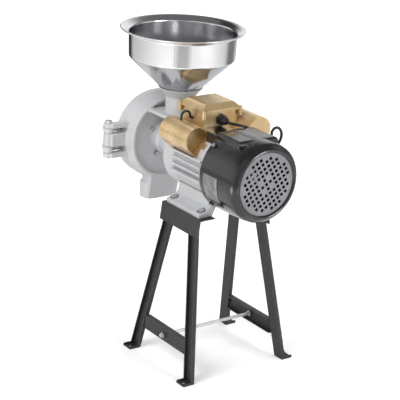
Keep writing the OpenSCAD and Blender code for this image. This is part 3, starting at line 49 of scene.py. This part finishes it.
# ---------------------------------------------------------------- camera
def make_camera():
    roll = math.radians(3.10)
    b = Vector((0.757296, -0.559990, 0.336027))
    r = Vector((0.594562, 0.804050, 0.0))
    u = Vector((-0.270182, 0.199789, 0.941852))
    x = r * math.cos(roll) + u * math.sin(roll)
    y = u * math.cos(roll) - r * math.sin(roll)
    m = Matrix((x, y, b)).transposed().to_4x4()
    m.translation = Vector((2.49197, -1.88961, 1.50803))
    data = bpy.data.cameras.new("camera")
    data.lens = 126.506
    data.sensor_width = 36.0
    data.clip_end = 60.0
    data.dof.use_dof = False
    cam = bpy.data.objects.new("camera", data)
    scene.collection.objects.link(cam)
    cam.matrix_world = m
    scene.camera = cam


make_camera()


# ---------------------------------------------------------------- small helpers
def link(obj, body):
    scene.collection.objects.link(obj)
    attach(obj, body)
    return obj


def mesh_object(name, verts, faces, body, smooth=True):
    me = bpy.data.meshes.new(name)
    me.from_pydata([tuple(c * MM for c in v) for v in verts], [], faces)
    me.validate()
    me.update()
    for p in me.polygons:
        p.use_smooth = smooth
    return link(bpy.data.objects.new(name, me), body)


def lathe(name, profile, body, segments=192, axis="x", centre=(0.0, 0.0), close=True):
    """Turns profile points (place along the axis, radius) about X at AXIS, or about Z at centre."""
    verts, faces = [], []
    n = len(profile)
    for i in range(segments):
        a = 2 * math.pi * i / segments
        for p, r in profile:
            if axis == "x":
                verts.append((p, r * math.sin(a), AXIS + r * math.cos(a)))
            else:
                verts.append((centre[0] + r * math.cos(a), centre[1] + r * math.sin(a), p))
    last = n if close else n - 1
    for i in range(segments):
        j = (i + 1) % segments
        for k in range(last):
            m = (k + 1) % n
            faces.append((i * n + k, i * n + m, j * n + m, j * n + k))
    obj = mesh_object(name, verts, faces, body)
    bm = bmesh.new()
    bm.from_mesh(obj.data)
    bmesh.ops.recalc_face_normals(bm, faces=bm.faces)
    bm.to_mesh(obj.data)
    bm.free()
    return obj


def rounded_line(points, radius, steps=5):
    """An open line of 2-D points with its inner corners rounded by an arc-like curve."""
    out = [points[0]]
    for a, b, c in zip(points, points[1:], points[2:]):
        va = Vector(a) - Vector(b)
        vc = Vector(c) - Vector(b)
        r = min(radius, va.length * 0.45, vc.length * 0.45)
        pa = Vector(b) + va.normalized() * r
        pc = Vector(b) + vc.normalized() * r
        for i in range(steps + 1):
            t = i / steps
            out.append(tuple(pa * (1 - t) ** 2 + Vector(b) * 2 * t * (1 - t) + pc * t ** 2))
    out.append(points[-1])
    return out


def modifiers(obj, width=0.6, segments=2, angle=32, highlight_slot=None):
    """Welds the split corners of a CAD node, rounds its edges, puts a painted-highlight material on the bevel faces
    when a slot is given, and evens out its normals.
    """
    w = obj.modifiers.new("weld", "WELD")
    w.merge_threshold = 0.00002
    if width:
        b = obj.modifiers.new("bevel", "BEVEL")
        b.width = width * MM
        b.segments = segments
        b.limit_method = "ANGLE"
        b.angle_limit = math.radians(angle)
        b.use_clamp_overlap = True
        b.miter_outer = "MITER_ARC"
        if highlight_slot is not None:
            b.material = highlight_slot
    n = obj.modifiers.new("normals", "WEIGHTED_NORMAL")
    n.weight = 90
    n.keep_sharp = False


# ---------------------------------------------------------------- materials
def node(tree, kind, x=0, y=0, **values):
    n = tree.nodes.new(kind)
    n.location = (x, y)
    for k, v in values.items():
        setattr(n, k, v)
    return n


def noise(tree, coords, scale, detail=4.0, rough=0.55, stretch=None):
    source = coords
    if stretch:
        m = node(tree, "ShaderNodeMapping")
        m.inputs["Scale"].default_value = stretch
        tree.links.new(coords, m.inputs["Vector"])
        source = m.outputs["Vector"]
    n = node(tree, "ShaderNodeTexNoise")
    n.inputs["Scale"].default_value = scale
    n.inputs["Detail"].default_value = detail
    n.inputs["Roughness"].default_value = rough
    tree.links.new(source, n.inputs["Vector"])
    return n.outputs["Fac"]


def remap(tree, value, lo, hi, a, b):
    n = node(tree, "ShaderNodeMapRange")
    n.inputs["From Min"].default_value = lo
    n.inputs["From Max"].default_value = hi
    n.inputs["To Min"].default_value = a
    n.inputs["To Max"].default_value = b
    tree.links.new(value, n.inputs["Value"])
    return n.outputs["Result"]


def mix_colour(tree, fac, a, b):
    n = node(tree, "ShaderNodeMix", data_type="RGBA")
    tree.links.new(fac, n.inputs["Factor"])
    ia = [s for s in n.inputs if s.name == "A" and s.type == "RGBA"][0]
    ib = [s for s in n.inputs if s.name == "B" and s.type == "RGBA"][0]
    for s, v in ((ia, a), (ib, b)):
        if isinstance(v, (tuple, list)):
            s.default_value = (*v, 1.0)
        else:
            tree.links.new(v, s)
    return [s for s in n.outputs if s.type == "RGBA"][0]


def material(name, light, dark, metallic=0.0, rough=(0.4, 0.55), cloud=6.0, grain=900.0, bump=0.12, depth=0.0003,
             stretch=None, wear=None, wear_scale=55.0, coat=0.0, aniso=0.0, waves=None, specular=None, painted_crease_shade=None):
    """A surface whose colour, roughness and fine relief all vary over it; its colour can also carry painted shade,
    darkened in creases and corners.
    """
    m = bpy.data.materials.new(name)
    m.use_nodes = True
    t = m.node_tree
    t.nodes.clear()
    out = node(t, "ShaderNodeOutputMaterial", 600)
    s = node(t, "ShaderNodeBsdfPrincipled", 300)
    t.links.new(s.outputs["BSDF"], out.inputs["Surface"])
    coords = node(t, "ShaderNodeTexCoord", -900).outputs["Object"]
    broad = noise(t, coords, cloud, 3.0)
    fine = noise(t, coords, grain, 3.0, 0.6, stretch)
    blotch = remap(t, broad, 0.35, 0.65, 0.0, 1.0)
    colour = mix_colour(t, blotch, dark, light)
    speck = remap(t, fine, 0.3, 0.7, 0.0, 1.0)
    streak = node(t, "ShaderNodeMix", data_type="RGBA", blend_type="MULTIPLY")
    streak.inputs["Factor"].default_value = 0.16 if stretch else 0.08
    ia = [x for x in streak.inputs if x.type == "RGBA"]
    t.links.new(colour, ia[0])
    t.links.new(speck, ia[1])
    colour = [x for x in streak.outputs if x.type == "RGBA"][0]
    r = remap(t, fine, 0.3, 0.7, rough[0], rough[1])
    if wear:
        worn = noise(t, coords, wear_scale, 6.0, 0.7)
        mask = remap(t, worn, 0.66, 0.72, 0.0, 1.0)
        colour = mix_colour(t, mask, colour, wear)
    # Painted shade: the colour is darkened where ambient occlusion finds creases, corners and recesses.
    if painted_crease_shade:
        deep, reach = painted_crease_shade
        ao = node(t, "ShaderNodeAmbientOcclusion")
        ao.samples = 6
        ao.inputs["Distance"].default_value = reach
        shade = remap(t, ao.outputs["AO"], 0.25, 0.8, deep, 1.0)
        shade_multiply = node(t, "ShaderNodeMix", data_type="RGBA", blend_type="MULTIPLY")
        shade_multiply.inputs["Factor"].default_value = 1.0
        ga = [x for x in shade_multiply.inputs if x.type == "RGBA"]
        t.links.new(colour, ga[0])
        t.links.new(shade, ga[1])
        colour = [x for x in shade_multiply.outputs if x.type == "RGBA"][0]
    t.links.new(colour, s.inputs["Base Color"])
    t.links.new(r, s.inputs["Roughness"])
    s.inputs["Metallic"].default_value = metallic
    s.inputs["Coat Weight"].default_value = coat
    s.inputs["Coat Roughness"].default_value = 0.08
    s.inputs["Anisotropic"].default_value = aniso
    if specular is not None:
        s.inputs["Specular IOR Level"].default_value = specular
    b = node(t, "ShaderNodeBump", 0, -300)
    b.inputs["Strength"].default_value = bump
    b.inputs["Distance"].default_value = depth
    t.links.new(fine, b.inputs["Height"])
    normal = b.outputs["Normal"]
    if waves:
        scale, height = waves
        w = node(t, "ShaderNodeBump", 0, -500)
        w.inputs["Strength"].default_value = 1.0
        w.inputs["Distance"].default_value = height
        t.links.new(noise(t, coords, scale, 1.0, 0.4), w.inputs["Height"])
        t.links.new(normal, w.inputs["Normal"])
        normal = w.outputs["Normal"]
    t.links.new(normal, s.inputs["Normal"])
    return m


M = {
    "stand_paint": material("charcoal_powder", (0.028, 0.028, 0.029), (0.019, 0.019, 0.020),
        0.0, (0.42, 0.55), 9, 1400, 0.25, 0.00025, wear=(0.055, 0.055, 0.057), wear_scale=130),
    # Painted highlight: a lighter copy of the charcoal for the bevelled edges.
    "stand_highlight_edge": material("charcoal_highlight_edge", (0.09, 0.09, 0.092), (0.06, 0.06, 0.062),
        0.1, (0.35, 0.45), 30, 1400, 0.2, 0.0002),
    "zinc": material("zinc_plate", (0.72, 0.73, 0.75), (0.52, 0.53, 0.55),
        1.0, (0.22, 0.38), 60, 2200, 0.15, 0.0002, wear=(0.40, 0.40, 0.42), wear_scale=300),
    # Painted shade: silver_aluminium, silver_iron and gold darken their colour in creases and corners.
    "silver_aluminium": material("silver_cast", (0.635, 0.642, 0.652), (0.565, 0.572, 0.584),
        0.15, (0.40, 0.53), 7, 850, 0.22, 0.0005, waves=(45, 0.0010), painted_crease_shade=(0.46, 0.010)),
    "silver_iron": material("silver_sand_cast", (0.645, 0.65, 0.66), (0.575, 0.58, 0.592),
        0.15, (0.42, 0.56), 6, 700, 0.30, 0.0006, waves=(38, 0.0016), painted_crease_shade=(0.62, 0.006)),
    # Painted highlight: a lighter copy of the silver casting for the bevelled edges.
    "silver_highlight_edge": material("silver_cast_highlight_edge", (0.70, 0.70, 0.71), (0.62, 0.62, 0.63),
        0.2, (0.35, 0.45), 30, 900, 0.15, 0.0003),
    "laminations": material("laminated_sheet", (0.27, 0.27, 0.29), (0.16, 0.16, 0.17),
        1.0, (0.35, 0.5), 20, 300, 0.5, 0.0004, stretch=(6, 0.2, 0.2)),
    "copper": material("varnished_copper", (0.72, 0.30, 0.12), (0.42, 0.15, 0.06),
        0.9, (0.25, 0.4), 40, 260, 0.7, 0.0008, stretch=(5, 1, 1)),
    "steel": material("turned_steel", (0.66, 0.67, 0.69), (0.5, 0.51, 0.53),
        1.0, (0.2, 0.34), 18, 700, 0.2, 0.0002, stretch=(4, 0.4, 0.4)),
    "grey_steel": material("grey_sheet", (0.30, 0.30, 0.32), (0.25, 0.25, 0.27),
        0.1, (0.4, 0.52), 14, 1500, 0.15, 0.0002),
    "black_gloss": material("gloss_black", (0.010, 0.010, 0.011), (0.007, 0.007, 0.008),
        0.0, (0.18, 0.26), 10, 1300, 0.06, 0.0002, coat=0.45, waves=(24, 0.0006)),
    "gold": material("gold_metallic", (0.86, 0.640, 0.360), (0.66, 0.470, 0.245),
        0.68, (0.24, 0.36), 12, 420, 0.10, 0.0002, stretch=(0.25, 5, 5), waves=(16, 0.0022),
        painted_crease_shade=(0.38, 0.0035)),
    # Painted highlight: a lighter, fully metallic copy of the gold for the bevelled edges.
    "gold_highlight_edge": material("gold_highlight_edge", (0.92, 0.74, 0.48), (0.84, 0.64, 0.38),
        1.0, (0.22, 0.32), 30, 600, 0.1, 0.0002),
    "black_plastic": material("moulded_black", (0.022, 0.022, 0.023), (0.014, 0.014, 0.015),
        0.0, (0.32, 0.46), 30, 1600, 0.2, 0.0002),
    "capacitor_can": material("capacitor_grey", (0.55, 0.55, 0.53), (0.46, 0.46, 0.44),
        0.0, (0.35, 0.5), 20, 1200, 0.15, 0.0002),
    "cord_rubber": material("cord_sheath", (0.020, 0.020, 0.021), (0.012, 0.012, 0.013),
        0.0, (0.38, 0.52), 40, 1800, 0.25, 0.0002),
    "black_knob": material("smooth_black", (0.024, 0.024, 0.026), (0.016, 0.016, 0.017),
        0.0, (0.2, 0.3), 24, 1500, 0.1, 0.0002, coat=0.3),
    "disc_iron": material("ground_iron", (0.30, 0.30, 0.31), (0.18, 0.18, 0.185),
        0.85, (0.35, 0.55), 22, 500, 0.5, 0.0005),
    "label_plate": material("bare_label", (0.36, 0.36, 0.37), (0.22, 0.22, 0.23),
        0.6, (0.32, 0.46), 60, 1500, 0.12, 0.0002, stretch=(1, 5, 5)),
    "rod_zinc": material("rod_zinc", (0.74, 0.75, 0.77), (0.60, 0.61, 0.63),
        0.45, (0.30, 0.42), 60, 1800, 0.15, 0.0002),
    # Painted shade: darker copies of the polished steel for the hopper's cone and inner wall.
    "shaded_cone_steel": material("shaded_cone_steel", (0.58, 0.58, 0.595), (0.46, 0.46, 0.475),
        1.0, (0.09, 0.16), 9, 300, 0.035, 0.0001, stretch=(0.4, 0.4, 14)),
    "shaded_inner_steel": material("shaded_inner_steel", (0.80, 0.80, 0.81), (0.66, 0.66, 0.68),
        1.0, (0.12, 0.20), 7, 300, 0.05, 0.0001, stretch=(0.4, 0.4, 14)),
    "seam_steel": material("ground_seam", (0.62, 0.62, 0.64), (0.50, 0.50, 0.52),
        1.0, (0.24, 0.36), 40, 900, 0.2, 0.0002, stretch=(3, 3, 1)),
    "polished_steel": material("polished_steel", (0.86, 0.86, 0.87), (0.80, 0.80, 0.82),
        1.0, (0.10, 0.17), 5, 300, 0.035, 0.0001, stretch=(0.4, 0.4, 14)),
}
# Painted highlight: the bevel faces of these finishes take their lighter edge copy.
HIGHLIGHT_EDGES = {"stand_paint": "stand_highlight_edge", "silver_aluminium": "silver_highlight_edge",
         "silver_iron": "silver_highlight_edge", "gold": "gold_highlight_edge"}
ROUND = {"stand_paint": 0.9, "silver_aluminium": 1.1, "silver_iron": 1.4, "gold": 1.5, "grey_steel": 0.3,
         "black_gloss": 0.5, "black_plastic": 0.6, "zinc": 0.35, "steel": 0.35, "black_knob": 0.8, "disc_iron": 0.4}
slot_of = {s["node"]: s["material_slot"] for s in frame["record"]["subparts"]}


def paint(obj, key):
    obj.data.materials.clear()
    obj.data.materials.append(M[key])


def dress(name, width=None, segments=2, angle=32):
    o = nodes[name]
    key = slot_of[name]
    paint(o, key)
    edge = None
    if key in HIGHLIGHT_EDGES:
        o.data.materials.append(M[HIGHLIGHT_EDGES[key]])
        edge = 1
    modifiers(o, ROUND.get(key, 0.3) if width is None else width, segments, angle, edge)


# ---------------------------------------------------------------- cord
GLAND_ROUTE = [
    (26, 0, 593.2), (31, 0.3, 593.2), (37.2, 1.8, 593), (43.2, 5.2, 592.5), (48.4, 10.4, 591.6), (52, 17, 590.2),
    (54, 25, 588), (54.5, 33, 584.8), (54.5, 42, 580), (54.5, 51, 573.5), (54.5, 59.5, 565.5), (54.8, 67.5, 556),
    (55.8, 74, 546.5), (57.2, 84.5, 529), (57.2, 91.3, 521.8), (56.6, 99.8, 518), (54.5, 108.3, 519),
    (51, 115, 524.3), (42.2, 121.3, 541), (36, 127.2, 558), (34.2, 142, 563.6),
    (34.8, 154.6, 553.2), (34.6, 155.6, 535), (29.8, 147.6, 517.6), (19, 136, 503.8),
    (4, 124.2, 493.8), (-13.5, 114.7, 485.6), (-31.8, 108, 478), (-47.5, 104.1, 469.7)]
COIL_X, COIL_Z, TURNS = -25.0, 448.7, 5
TAIL = [(163, 31.1, 95.9), (197, 30, 92.6), (232, 29.5, 87.8), (264, 29.3, 84.3)]
PLUG = (-12.0, 83.4, 420.5)


def coil_points(per_turn):
    out = []
    for i in range(TURNS * per_turn + 1):
        u = i / per_turn
        r = 31 + 7.5 * min(u, TURNS - u)
        k = min(max(2 * (u - TURNS / 2) + 0.5, 0), 1)
        a = math.radians(150 + 360 * u)
        out.append((COIL_X + r * math.cos(a), 103.7 - 7.5 * k * k * (3 - 2 * k), COIL_Z + r * math.sin(a)))
    return out


def cord_route(per_turn=24):
    tail = [(COIL_X + r * math.cos(math.radians(a)), y, COIL_Z + r * math.sin(math.radians(a))) for a, r, y in TAIL]
    return GLAND_ROUTE + coil_points(per_turn) + tail + [(-21.5, 83.5, 419.8), PLUG]


def make_cord():
    points = cord_route()
    data = bpy.data.curves.new("cord", "CURVE")
    data.dimensions = "3D"
    data.resolution_u = 4
    data.bevel_depth = 3.45 * MM
    data.bevel_resolution = 5
    data.use_fill_caps = True
    s = data.splines.new("BEZIER")
    s.bezier_points.add(len(points) - 1)
    for bp, p in zip(s.bezier_points, points):
        bp.co = tuple(c * MM for c in p)
        bp.handle_left_type = bp.handle_right_type = "AUTO"
    data.materials.append(M["cord_rubber"])
    cord = link(bpy.data.objects.new("cord", data), "frame")
    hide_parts("power_cord", "cord_coil")
    return cord


cord = make_cord()


# ---------------------------------------------------------------- hopper
HOPPER_X = -166.0
CONE_TOP = 705.0


def make_hopper():
    outer = rounded_line([(596.7, 30.5), (611.7, 30.5), (704.5, 127.0), (763.2, 129.0),
                          (770.0, 147.5), (773.2, 149.8)], 3.5, 6)
    rim = [(773.9, 149.2), (774.0, 147.6)]
    inner = rounded_line([(773.4, 145.6), (771.6, 141.0), (763.8, 127.4), (706.3, 125.5),
                          (613.3, 29.0), (596.7, 29.0)], 3.0, 6)
    o = lathe("hopper_shell", outer + rim + inner, "hopper_body", 288, "z", (HOPPER_X, 0.0))
    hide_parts("hopper")
    paint(o, "polished_steel")
    # Painted shade: the cone and the inner wall take the darker copies of the polished steel.
    o.data.materials.append(M["shaded_cone_steel"])
    o.data.materials.append(M["shaded_inner_steel"])
    for face in o.data.polygons:
        away = Vector((face.center.x - HOPPER_X * MM, face.center.y, 0.0))
        if face.normal.dot(away) < 0:
            face.material_index = 2
        elif face.center.z < CONE_TOP * MM:
            face.material_index = 1
    return o


make_hopper()


def hopper_seam():
    """Low ground weld bead down the band of the hopper."""
    verts, faces = [], []
    rows, cols = 40, 6
    middle = math.radians(-43.2)
    for i in range(rows + 1):
        t = i / rows
        z = 707.0 + 54.0 * t
        r = 127.1 + 1.8 * t
        half = (0.75 + 0.12 * math.sin(i * 2.1) + 0.08 * math.sin(i * 5.3)) / r
        for j in range(cols + 1):
            q = -1 + 2 * j / cols
            out = -0.35 + 0.75 * (1 - q * q)
            a = middle + half * q
            verts.append((HOPPER_X + (r + out) * math.cos(a), (r + out) * math.sin(a), z))
    for i in range(rows):
        for j in range(cols):
            k = i * (cols + 1) + j
            faces.append((k, k + 1, k + cols + 2, k + cols + 1))
    o = mesh_object("hopper_seam", verts, faces, "hopper_body")
    paint(o, "seam_steel")
    return o


hopper_seam()


# ---------------------------------------------------------------- castings with rounded corners
def casting(name, sources, key, body, voxel, rounds, extra=()):
    """Joins copies of CAD nodes into one skin and softens its corners like those of a sand casting."""
    bm = bmesh.new()
    for n in sources:
        part = bmesh.new()
        part.from_mesh(nodes[n].data)
        part.transform(nodes[n].matrix_world)
        bmesh.ops.remove_doubles(part, verts=part.verts, dist=0.00002)
        me = bpy.data.meshes.new(name + "_part")
        part.to_mesh(me)
        part.free()
        bm.from_mesh(me)
        bpy.data.meshes.remove(me)
    for verts, faces in extra:
        made = [bm.verts.new(tuple(c * MM for c in v)) for v in verts]
        for f in faces:
            bm.faces.new([made[i] for i in f])
    bmesh.ops.recalc_face_normals(bm, faces=bm.faces)
    me = bpy.data.meshes.new(name)
    bm.to_mesh(me)
    bm.free()
    o = bpy.data.objects.new(name, me)
    scene.collection.objects.link(o)
    r = o.modifiers.new("voxels", "REMESH")
    r.mode = "VOXEL"
    r.voxel_size = voxel * MM
    r.use_smooth_shade = True
    k = o.modifiers.new("soft", "SMOOTH")
    k.factor = 0.5
    k.iterations = rounds
    bpy.context.view_layer.update()
    done = bpy.data.meshes.new_from_object(o.evaluated_get(bpy.context.evaluated_depsgraph_get()))
    o.modifiers.clear()
    o.data = done
    for p in done.polygons:
        p.use_smooth = True
    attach(o, body)
    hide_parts(*sources)
    paint(o, key)
    return o


def chute_back():
    """Sloping back of the chute, from the rim of the case down to its mouth."""
    verts, faces = [], []
    steps = [-43 + 86 * i / 16 for i in range(17)]
    for y in steps:
        top = 490 - math.sqrt(98.5 ** 2 - y * y)
        verts += [(-225.5, y, top), (-211.5, y, top), (-213.0, y, top - 12)]
        verts += [(-217.5, y, 358), (-221.8, y, 338), (-225.5, y, 333)]
    for i in range(len(steps) - 1):
        for k in range(6):
            a, b = i * 6 + k, i * 6 + (k + 1) % 6
            faces.append((a, b, b + 6, a + 6))
    faces.append(tuple(range(5, -1, -1)))
    faces.append(tuple(range(len(verts) - 6, len(verts))))
    return verts, faces


CASE_NODES = ["grinding_case", "feed_neck", "flour_chute"]
casting("case_casting", CASE_NODES, "silver_iron", "frame", 1.5, 5, [chute_back()])


# ---------------------------------------------------------------- bare label on the fan cover
LABEL_X = (74.0, 126.0)
LABEL_TURN = (84.0, 122.0)
LABEL_SKINS = (96.9, 97.15)


def label_plate():
    verts, faces = [], []
    rows, cols = 18, 10
    for r in LABEL_SKINS:
        for i in range(rows + 1):
            a = -math.radians(LABEL_TURN[0] + (LABEL_TURN[1] - LABEL_TURN[0]) * i / rows)
            for j in range(cols + 1):
                x = LABEL_X[0] + (LABEL_X[1] - LABEL_X[0]) * j / cols
                verts.append((x, r * math.sin(a), AXIS + r * math.cos(a)))
    n = (rows + 1) * (cols + 1)
    for layer in (0, 1):
        for i in range(rows):
            for j in range(cols):
                q = layer * n + i * (cols + 1) + j
                faces.append((q, q + 1, q + cols + 2, q + cols + 1))
    rim = list(range(cols))
    rim += [i * (cols + 1) + cols for i in range(rows)]
    rim += [rows * (cols + 1) + cols - j for j in range(cols)]
    rim += [(rows - i) * (cols + 1) for i in range(rows)]
    for a, b in zip(rim, rim[1:] + rim[:1]):
        faces.append((a, b, b + n, a + n))
    o = mesh_object("cover_label", verts, faces, "frame")
    bm = bmesh.new()
    bm.from_mesh(o.data)
    bmesh.ops.recalc_face_normals(bm, faces=bm.faces)
    bm.to_mesh(o.data)
    bm.free()
    paint(o, "label_plate")
    return o


label_plate()


# ---------------------------------------------------------------- every CAD node
HIDDEN_BY_PIECES = {"power_cord", "cord_coil", "hopper", *CASE_NODES}
for name in nodes:
    if name not in HIDDEN_BY_PIECES:
        dress(name, 0 if name == "fan_grille" else None)
paint(nodes["lid_screws"], "gold")
paint(nodes["tie_rod"], "rod_zinc")
thicker = nodes["capacitor_lead"].modifiers.new("sheath", "DISPLACE")
thicker.strength = 0.6 * MM
thicker.mid_level = 0.0
grille = nodes["fan_grille"]
# Painted shade: the walls of the grille holes take black plastic, so the holes read as dark shadowed openings.
grille.data.materials.append(M["black_plastic"])
for face in grille.data.polygons:
    if abs(face.normal.x) < 0.3:
        face.material_index = 1


# ---------------------------------------------------------------- stage and light
def plain_plane(name, size, centre, normal, mat):
    me = bpy.data.meshes.new(name)
    n = Vector(normal).normalized()
    side = n.cross(Vector((0, 0, 1))) if abs(n.z) < 0.95 else Vector((1, 0, 0))
    side.normalize()
    up = side.cross(n)
    w, h = size[0] / 2, size[1] / 2
    c = Vector(centre)
    corners = [c - side * w - up * h, c + side * w - up * h, c + side * w + up * h, c - side * w + up * h]
    me.from_pydata(corners, [], [(0, 1, 2, 3)])
    me.materials.append(mat)
    uv = me.uv_layers.new(name="flat")
    for loop, place in zip(uv.data, ((0, 0), (1, 0), (1, 1), (0, 1))):
        loop.uv = place
    o = bpy.data.objects.new(name, me)
    scene.collection.objects.link(o)
    return o


def floor_material():
    m = bpy.data.materials.new("floor_white")
    m.use_nodes = True
    t = m.node_tree
    t.nodes.clear()
    out = node(t, "ShaderNodeOutputMaterial")
    d = node(t, "ShaderNodeBsdfDiffuse")
    d.inputs["Color"].default_value = (0.86, 0.86, 0.86, 1)
    e = node(t, "ShaderNodeEmission")
    add = node(t, "ShaderNodeAddShader")
    lp = node(t, "ShaderNodeLightPath")
    mul = node(t, "ShaderNodeMath", operation="MULTIPLY")
    place = node(t, "ShaderNodeTexCoord").outputs["Object"]
    far = node(t, "ShaderNodeVectorMath", operation="LENGTH")
    t.links.new(place, far.inputs[0])
    t.links.new(remap(t, far.outputs["Value"], 0.6, 2.4, 0.24, 0.75), mul.inputs[1])
    t.links.new(lp.outputs["Is Camera Ray"], mul.inputs[0])
    t.links.new(mul.outputs[0], e.inputs["Strength"])
    t.links.new(d.outputs[0], add.inputs[0])
    t.links.new(e.outputs[0], add.inputs[1])
    t.links.new(add.outputs[0], out.inputs["Surface"])
    return m


def card_material(value):
    m = bpy.data.materials.new("card")
    m.use_nodes = True
    t = m.node_tree
    t.nodes.clear()
    out = node(t, "ShaderNodeOutputMaterial")
    e = node(t, "ShaderNodeEmission")
    e.inputs["Color"].default_value = (value, value, value, 1)
    across = node(t, "ShaderNodeSeparateXYZ")
    t.links.new(node(t, "ShaderNodeTexCoord").outputs["UV"], across.inputs[0])
    off = node(t, "ShaderNodeMath", operation="SUBTRACT")
    off.inputs[1].default_value = 0.5
    t.links.new(across.outputs["X"], off.inputs[0])
    size = node(t, "ShaderNodeMath", operation="ABSOLUTE")
    t.links.new(off.outputs[0], size.inputs[0])
    fade = node(t, "ShaderNodeMixShader")
    t.links.new(remap(t, size.outputs[0], 0.22, 0.5, 1.0, 0.0), fade.inputs[0])
    t.links.new(node(t, "ShaderNodeBsdfTransparent").outputs[0], fade.inputs[1])
    t.links.new(e.outputs[0], fade.inputs[2])
    t.links.new(fade.outputs[0], out.inputs["Surface"])
    return m


def card(name, value, azimuth, width, height, centre_z, distance=2.2):
    """A grey board that only shiny surfaces see."""
    a = math.radians(azimuth)
    where = (math.sin(a) * distance, -math.cos(a) * distance, centre_z)
    o = plain_plane(name, (width, height), where, (-math.sin(a), math.cos(a), 0), card_material(value))
    o.visible_camera = False
    o.visible_diffuse = False
    o.visible_shadow = False
    o.visible_transmission = False
    o.visible_volume_scatter = False
    return o


def area(name, where, target, size, power, size_y=None):
    d = bpy.data.lights.new(name, "AREA")
    d.energy = power
    d.size = size
    if size_y:
        d.shape = "RECTANGLE"
        d.size_y = size_y
    o = bpy.data.objects.new(name, d)
    scene.collection.objects.link(o)
    o.location = where
    o.rotation_euler = (Vector(target) - Vector(where)).to_track_quat("-Z", "Y").to_euler()
    return o


def make_stage():
    plain_plane("floor", (14, 14), (0, 0, 0), (0, 0, 1), floor_material())
    card("card_camera", 0.50, 53.5, 1.2, 2.4, 1.1, 1.6)
    card("card_left_back", 0.04, -96.0, 1.2, 2.4, 1.1, 1.5)
    card("card_right_back", 0.22, 186.0, 1.3, 2.4, 1.1, 1.5)
    card("card_low_front", 6.0, 12.0, 0.75, 0.24, 0.13, 1.0)
    world = bpy.data.worlds.new("studio")
    scene.world = world
    world.use_nodes = True
    t = world.node_tree
    t.nodes.clear()
    out = node(t, "ShaderNodeOutputWorld")
    bg = node(t, "ShaderNodeBackground")
    lp = node(t, "ShaderNodeLightPath")
    s1 = node(t, "ShaderNodeMath", operation="MAXIMUM")
    s2 = node(t, "ShaderNodeMath", operation="MAXIMUM")
    t.links.new(lp.outputs["Is Camera Ray"], s1.inputs[0])
    t.links.new(lp.outputs["Is Glossy Ray"], s1.inputs[1])
    t.links.new(s1.outputs[0], s2.inputs[0])
    t.links.new(lp.outputs["Is Transmission Ray"], s2.inputs[1])
    way = node(t, "ShaderNodeSeparateXYZ")
    t.links.new(node(t, "ShaderNodeTexCoord").outputs["Generated"], way.inputs[0])
    upper = remap(t, way.outputs["Z"], 0.36, 0.70, 1.0, 0.19)
    shiny = node(t, "ShaderNodeMix", data_type="FLOAT")
    t.links.new(lp.outputs["Is Glossy Ray"], shiny.inputs["Factor"])
    shiny.inputs["A"].default_value = 1.0
    t.links.new(upper, shiny.inputs["B"])
    base = remap(t, s2.outputs[0], 0.0, 1.0, 0.42, 1.0)
    strength = node(t, "ShaderNodeMath", operation="MULTIPLY")
    t.links.new(base, strength.inputs[0])
    t.links.new(shiny.outputs["Result"], strength.inputs[1])
    t.links.new(strength.outputs[0], bg.inputs["Strength"])
    bg.inputs["Color"].default_value = (1, 1, 1, 1)
    t.links.new(bg.outputs[0], out.inputs["Surface"])
    key = area("key", (0.3, -2.3, 2.5), (0, 0, 0.5), 1.5, 60)
    key.visible_glossy = False
    top = area("top", (-0.5, 0.6, 3.0), (0, 0, 0.5), 1.8, 34)
    top.visible_glossy = False
    area("fan_side", (2.6, 0.9, 1.6), (0, 0, 0.45), 1.2, 36)


make_stage()
scene.view_settings.view_transform = "Standard"
